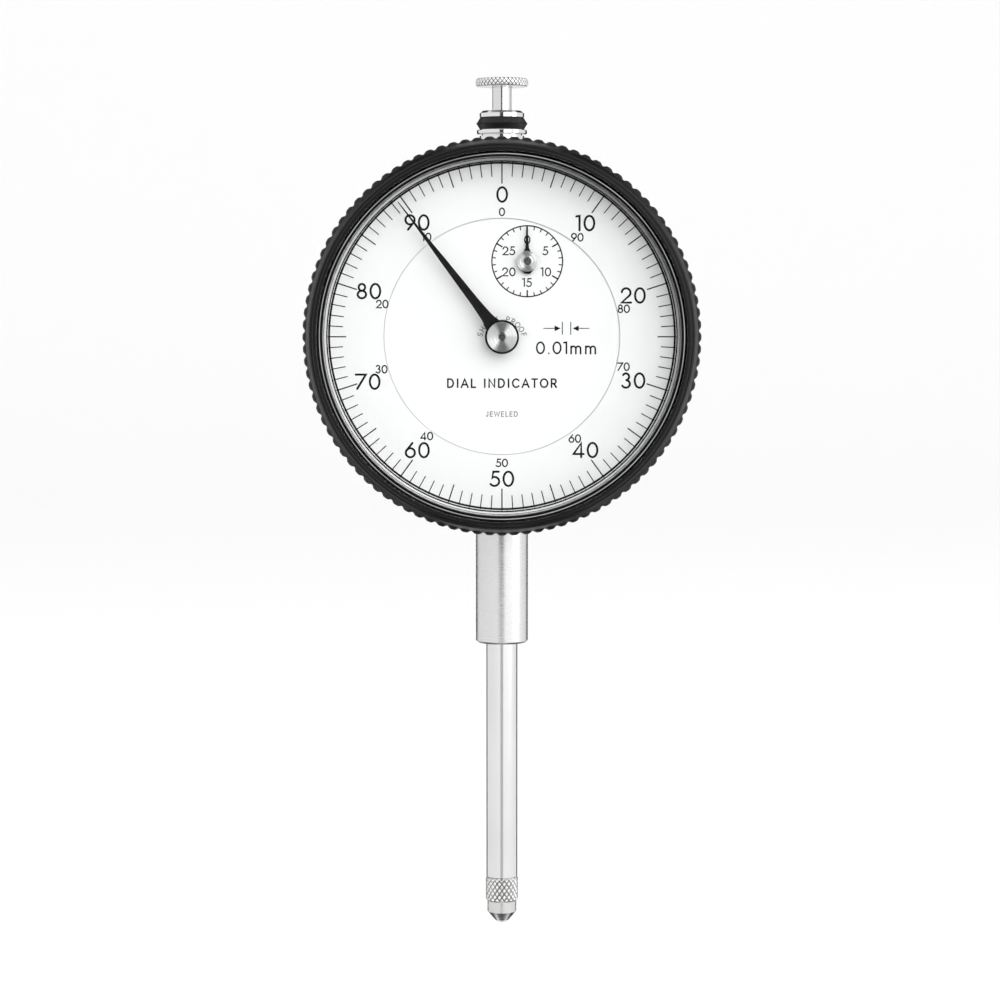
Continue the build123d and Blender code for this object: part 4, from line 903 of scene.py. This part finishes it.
def print_counter(materials):
    """Scale of the turn counter on the fixed centre plate."""
    ink = Ink(front_of("centre_dial"))
    ink.circle(COUNTER_X, COUNTER_Y, COUNTER_RING_R, COUNTER_RING_WIDTH)
    for i in range(TRAVEL_TURNS):
        length, width = COUNTER_TICKS[i % 5 == 0]
        inner = clock(COUNTER_X, COUNTER_Y, COUNTER_RING_R - length, i / TRAVEL_TURNS)
        outer = clock(COUNTER_X, COUNTER_Y, COUNTER_RING_R, i / TRAVEL_TURNS)
        ink.stroke([inner, outer], width)
    for value, (x, y) in COUNTER_PLACES.items():
        ink.word(str(value), COUNTER_X + x, COUNTER_Y + y, *COUNTER_STYLE)
    ink.finish("counter_scale", "case", materials["printed_black"])


# Two marks one division apart, with an arrow from each side
MARKS_X = (8.97, 10.22)
MARKS_Y = (0.35, 2.15)
MARKS_WIDTH = 0.14
ARROWS_X = ((8.72, 6.2), (10.5, 12.95))  # tip and tail
ARROWS_Y = 1.24
ARROWS_WIDTH = 0.12
HEAD_LENGTH = 0.9
HEAD_HALF_WIDTH = 0.42
HEAD_OVERLAP = 0.7  # share of the head that the arrow's line leaves to it

# Words: text, centre, height, weight and gap between letters
BLACK_WORDS = (
    ("0.01mm", 9.6, -1.65, 1.85, 0.25, 0.2),
    ("DIAL INDICATOR", 0, -6.9, 1.35, 0.24, 0.26),
)
GREY_WORD = ("JEWELED", 0, -11.5, 0.76, 0.12, 0.24)

# Word over the hub
ARC_WORD = "SHOCK PROOF"
ARC_R = 3.42
ARC_CENTRE_Y = -0.73
ARC_SPAN = math.radians(144)
ARC_STYLE = (0.82, 0.12)


def arrow(ink, tip_x, tail_x):
    """Small arrow along x with a filled head at its tip."""
    head = HEAD_LENGTH if tip_x < tail_x else -HEAD_LENGTH
    ink.stroke([(tail_x, ARROWS_Y), (tip_x + head * HEAD_OVERLAP, ARROWS_Y)], ARROWS_WIDTH)
    corners = [(tip_x, ARROWS_Y)]
    corners += [(tip_x + head, ARROWS_Y + side * HEAD_HALF_WIDTH) for side in (1, -1)]
    ink.polygon(corners[::-1] if head > 0 else corners)


def arc_word(ink):
    """Word that runs over the top of the hub, with its letters standing outwards."""
    for i, letter in enumerate(ARC_WORD):
        angle = ARC_SPAN * (i / (len(ARC_WORD) - 1) - 0.5)
        x, y = ARC_R * math.sin(angle), ARC_CENTRE_Y + ARC_R * math.cos(angle)
        ink.word(letter, x, y, *ARC_STYLE, turn=-angle)


def print_centre(materials):
    """Value of a division, with the marks for one division, and the large words."""
    ink = Ink(front_of("centre_dial"))
    for x in MARKS_X:
        ink.stroke([(x, y) for y in MARKS_Y], MARKS_WIDTH)
    for tip_x, tail_x in ARROWS_X:
        arrow(ink, tip_x, tail_x)
    for word in BLACK_WORDS:
        ink.word(*word)
    ink.finish("centre_lettering", "case", materials["printed_black"])


def print_small_words(materials):
    """Small grey words of the centre plate."""
    ink = Ink(front_of("centre_dial"))
    ink.word(*GREY_WORD)
    arc_word(ink)
    ink.finish("centre_small_lettering", "case", materials["printed_grey"])


# ---------------------------------------------------------------- turned and knurled pieces

SERRATIONS = 100
SERRATION_STEPS = 10
SERRATION_DEPTH = 0.34
SERRATION_ROUNDING = 2.4  # power that narrows the grooves between the rounded teeth
SERRATION_ROOT_R = 28.95
BEZEL_ROUNDING = 0.09
BEZEL_STEP = 0.6
BEZEL_SHARP = 35
BEZEL_CHAMFER = 0.5
BEZEL_BORE_R = 26.28

# Bezel's section from its edge to its seat, with depths below the front face. The edge is given by
# how far inside the outer radius it lies, and the face by its radius.
BEZEL_EDGE = ((0, 2.75), (0.25, 2.35))
BEZEL_FACE = (
    (28.95, 2.05),
    (28.85, 1.75),
    (28.45, 0.75),
    (28.2, 0.42),
    (28.05, 0.46),
    (27.95, 0.25),
    (27.8, 0.05),
    (27.62, 0),
    (27.5, 0),
    (27.36, 0.04),
    (27.28, 0.25),
    (27.28, 1.9),
    (26.5, 1.9),
    (26.5, 5.6),
    (25.3, 5.6),
    (25.3, 5.85),
    (BEZEL_BORE_R, 5.85),
)


def make_bezel(materials):
    """Bezel ring with a turned lip, a grooved chamfer and a scalloped edge."""
    low, high = back_of("bezel"), front_of("bezel")
    outer = radius_of("bezel")

    def serrated(radius, angle, height):
        if radius <= SERRATION_ROOT_R:
            return radius
        wave = (1 - math.cos(SERRATIONS * angle)) / 2
        share = min(1.0, (radius - SERRATION_ROOT_R) / (outer - SERRATION_ROOT_R))
        return radius - SERRATION_DEPTH * wave**SERRATION_ROUNDING * share

    outline = [(outer - BEZEL_CHAMFER, low), (outer, low + BEZEL_CHAMFER)]
    outline += [(outer - inset, high - depth) for inset, depth in BEZEL_EDGE]
    outline += [(radius, high - depth) for radius, depth in BEZEL_FACE]
    outline.append((BEZEL_BORE_R, low))
    outline = divided(rounded(outline, BEZEL_ROUNDING), BEZEL_STEP)
    vertices, faces = turned(outline, SERRATIONS * SERRATION_STEPS, about_dial, serrated)
    bezel = make_piece(
        "bezel_ring", vertices, faces, "bezel_group",
        materials["bezel_black"], BEZEL_SHARP,
    )
    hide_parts("bezel")


KNOB_BULGE = 0.35
KNOB_KNURL_IN = 0.36  # how far inside the rim the knurl reaches
KNOB_BORE_R = 0.88
KNOB_BARREL_STEPS = 30
KNOB_STEPS = 16
KNOB_SHARP = 40


def make_knob(materials):
    """Lifting knob with a knurled, barrel-shaped rim."""
    rim = radius_of("lifting_knob")
    half = (KNOB_HIGH - KNOB_LOW) / 2

    def knurled(radius, angle, height):
        if radius <= rim - KNOB_KNURL_IN:
            return radius
        return radius - knurl_depth(KNOB_KNURL, angle, height)

    outline = [(KNOB_BORE_R, KNOB_LOW)]
    for i in range(KNOB_BARREL_STEPS + 1):
        turn = math.pi * (i / KNOB_BARREL_STEPS - 0.5)
        radius = rim - KNOB_BULGE + KNOB_BULGE * math.cos(turn)
        outline.append((radius, KNOB_MIDDLE + half * math.sin(turn)))
    outline.append((KNOB_BORE_R, KNOB_HIGH))
    vertices, faces = turned(outline, KNOB_KNURL["lines"] * KNOB_STEPS, about_spindle, knurled)
    knob = make_piece(
        "lifting_knob_turned", vertices, faces, "spindle_group",
        materials["knurled_nickel"], KNOB_SHARP,
    )
    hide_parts("lifting_knob")


CONE_TOP_R = 2.23
CONE_HEIGHT = 1.85
NECK_R = 2.3
NECK_DEPTHS = (3.75, 3.62, 0.05)  # below the spindle's shoulder: cone's end, grip's ends
TOP_R = 2.2
SHANK_R = 1.08
SHANK_CORE_R = 0.05
LIP_TURN = math.radians(50)  # where the ball leaves its seat, from the tip
LIP_DEPTH = 0.3
GRIP_KNURL_IN = 0.15
GRIP_STEPS = 60
CONTACT_STEPS = 18
CONTACT_SHARP = 28


def make_contact(materials):
    """Contact point with a diamond knurled grip above a smooth cone."""
    shank_top = span_of("contact_point")[1]
    tip = span_of("contact_ball")[0]
    ball_r, grip_r = radius_of("contact_ball"), radius_of("contact_point")
    lip_r, lip_z = ball_r * math.sin(LIP_TURN), tip + ball_r - ball_r * math.cos(LIP_TURN)
    cone_end, grip_start, grip_end = (SHOULDER - depth for depth in NECK_DEPTHS)

    def knurled(radius, angle, height):
        if radius <= grip_r - GRIP_KNURL_IN:
            return radius
        return radius - knurl_depth(GRIP_KNURL, angle, height)

    outline = [(lip_r / 2, lip_z + LIP_DEPTH), (lip_r, lip_z), (CONE_TOP_R, tip + CONE_HEIGHT)]
    outline += [(CONE_TOP_R, cone_end), (NECK_R, grip_start)]
    for i in range(GRIP_STEPS + 1):
        outline.append((grip_r, GRIP_LOW + (GRIP_HIGH - GRIP_LOW) * i / GRIP_STEPS))
    outline += [(NECK_R, grip_end), (TOP_R, SHOULDER), (SHANK_R, SHOULDER)]
    outline += [(SHANK_R, shank_top), (SHANK_CORE_R, shank_top)]
    vertices, faces = turned(outline, GRIP_KNURL["lines"] * CONTACT_STEPS, about_spindle, knurled)
    contact = make_piece(
        "contact_point_knurled", vertices, faces, "spindle_group",
        materials["knurled_contact_steel"], CONTACT_SHARP,
    )
    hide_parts("contact_point")


# ---------------------------------------------------------------- light, floor and camera

# Camera, in millimetres and degrees
VIEW_DISTANCE = 420
VIEW_ABOVE_DIAL = 6.92
VIEW_LEFT_OF_AXIS = 0.29
VIEW_PITCH = 4.368
FOCAL_LENGTH = 98.96
SENSOR_WIDTH = 36.0
CLIP_NEAR, CLIP_FAR = 0.01, 20.0

# From here on in metres
TIP_Z = DIAL_Z + span_of("contact_ball")[0] * MM
FLOOR_DROP = 0.03
FLOOR_HALF = 3.0
FLOOR_BEND = 0.9
FLOOR_BACK = 2.2
FLOOR_TOP = 3.0
FLOOR_STEPS = 24
FLOOR_TONE = 0.93
STAGE_ROUGHNESS = 0.9
DARK, GREY = 0.012, 0.62
TARGET = (0, 0, DIAL_Z - 0.02)

# Lamps: name, place, width and height, watts
LAMPS = (
    ("key", (0.36, -1.02, DIAL_Z + 0.58), (1.2, 1.2), 7.15),
    ("fill", (0.8, -0.35, DIAL_Z - 0.05), (0.4, 0.9), 2.5),
)

# Cards that only polished metal sees: name, centre, half width, half height, tone
CARDS = (
    ("dark_card_front", (-0.01, -0.5, DIAL_Z), (0.085, 0, 0), (0, 0, 0.5), DARK),
    ("dark_card_left", (-0.07, 0.10, DIAL_Z), (0.042, -0.01, 0), (0, 0, 0.30), DARK),
    ("dark_card_right", (0.07, 0.10, DIAL_Z), (0.042, 0.01, 0), (0, 0, 0.30), DARK),
    ("grey_card_spindle", (-0.002, -0.1, -0.045), (0.018, 0, 0), (0, 0, 0.034), GREY),
    ("dark_card_below", (0, -0.004, TIP_Z - 0.02), (0.03, 0, 0), (0, 0.006, 0), DARK),
    ("dark_card_under_left", (-0.032, 0.035, TIP_Z - 0.02), (0.02, 0, 0), (0, 0.035, 0), DARK),
    ("dark_card_under_right", (0.032, 0.035, TIP_Z - 0.02), (0.02, 0, 0), (0, 0.035, 0), DARK),
)


def make_camera():
    """Camera a little above the dial that looks slightly down."""
    data = bpy.data.cameras.new("camera")
    data.lens = FOCAL_LENGTH
    data.sensor_width = SENSOR_WIDTH
    data.clip_start, data.clip_end = CLIP_NEAR, CLIP_FAR
    camera = bpy.data.objects.new("camera", data)
    bpy.context.scene.collection.objects.link(camera)
    camera.location = place(-VIEW_LEFT_OF_AXIS, VIEW_ABOVE_DIAL, VIEW_DISTANCE)
    camera.rotation_euler = (math.radians(90 - VIEW_PITCH), 0, 0)
    bpy.context.scene.camera = camera


def plain_stage(name, vertices, faces, tone):
    """Floor or card of one plain tone that isn't part of the object."""
    mesh = bpy.data.meshes.new(name)
    mesh.from_pydata(vertices, [], faces)
    mesh.shade_smooth()
    stage = bpy.data.objects.new(name, mesh)
    bpy.context.scene.collection.objects.link(stage)
    mesh.materials.append(Finish(name, grey(tone), 0.0, STAGE_ROUGHNESS).material)
    return stage


def make_floor():
    """Pale floor below the contact point that curves up into a backdrop."""
    floor_z = TIP_Z - FLOOR_DROP
    outline = [(-FLOOR_HALF, floor_z)]
    for i in range(FLOOR_STEPS + 1):
        angle = math.pi / 2 * i / FLOOR_STEPS
        y = FLOOR_BACK - FLOOR_BEND + FLOOR_BEND * math.sin(angle)
        outline.append((y, floor_z + FLOOR_BEND - FLOOR_BEND * math.cos(angle)))
    outline.append((FLOOR_BACK, floor_z + FLOOR_TOP))
    vertices = [(side * FLOOR_HALF, y, z) for side in (-1, 1) for y, z in outline]
    count = len(outline)
    faces = [(i, count + i, count + i + 1, i + 1) for i in range(count - 1)]
    plain_stage("floor", vertices, faces, FLOOR_TONE)


def make_card(name, centre, side, up, tone):
    """Card that is only seen in polished metal. side and up are its half sizes."""
    centre, side, up = Vector(centre), Vector(side), Vector(up)
    corners = [centre - side - up, centre + side - up, centre + side + up, centre - side + up]
    card = plain_stage(name, corners, [(0, 1, 2, 3)], tone)
    card.visible_camera = False
    card.visible_diffuse = False
    card.visible_shadow = False


def make_lamp(name, position, size, watts):
    """Soft rectangular lamp that faces the stem."""
    data = bpy.data.lights.new(name, "AREA")
    data.shape = "RECTANGLE"
    data.size, data.size_y = size
    data.energy = watts
    lamp = bpy.data.objects.new(name, data)
    bpy.context.scene.collection.objects.link(lamp)
    lamp.location = position
    lamp.rotation_euler = (Vector(TARGET) - Vector(position)).to_track_quat("-Z", "Y").to_euler()


def make_world():
    """Even white light from all around."""
    world = bpy.data.worlds.new("studio")
    world.use_nodes = True
    background = world.node_tree.nodes["Background"]
    background.inputs["Color"].default_value = (1.0, 1.0, 1.0, 1)
    background.inputs["Strength"].default_value = 1.0
    bpy.context.scene.world = world
    bpy.context.scene.view_settings.view_transform = "Standard"


def make_studio():
    """Floor, light and cards around the object."""
    make_floor()
    make_world()
    for lamp in LAMPS:
        make_lamp(*lamp)
    for card in CARDS:
        make_card(*card)


# ---------------------------------------------------------------- the whole scene

materials = make_materials()
paint_frame(materials)
for make in (
    make_bezel, make_knob, make_contact, print_graduation, print_reverse_numbers,
    mark_crystal_edge, make_inner_wall, print_counter, print_centre, print_small_words,
):
    make(materials)
make_camera()
make_studio()
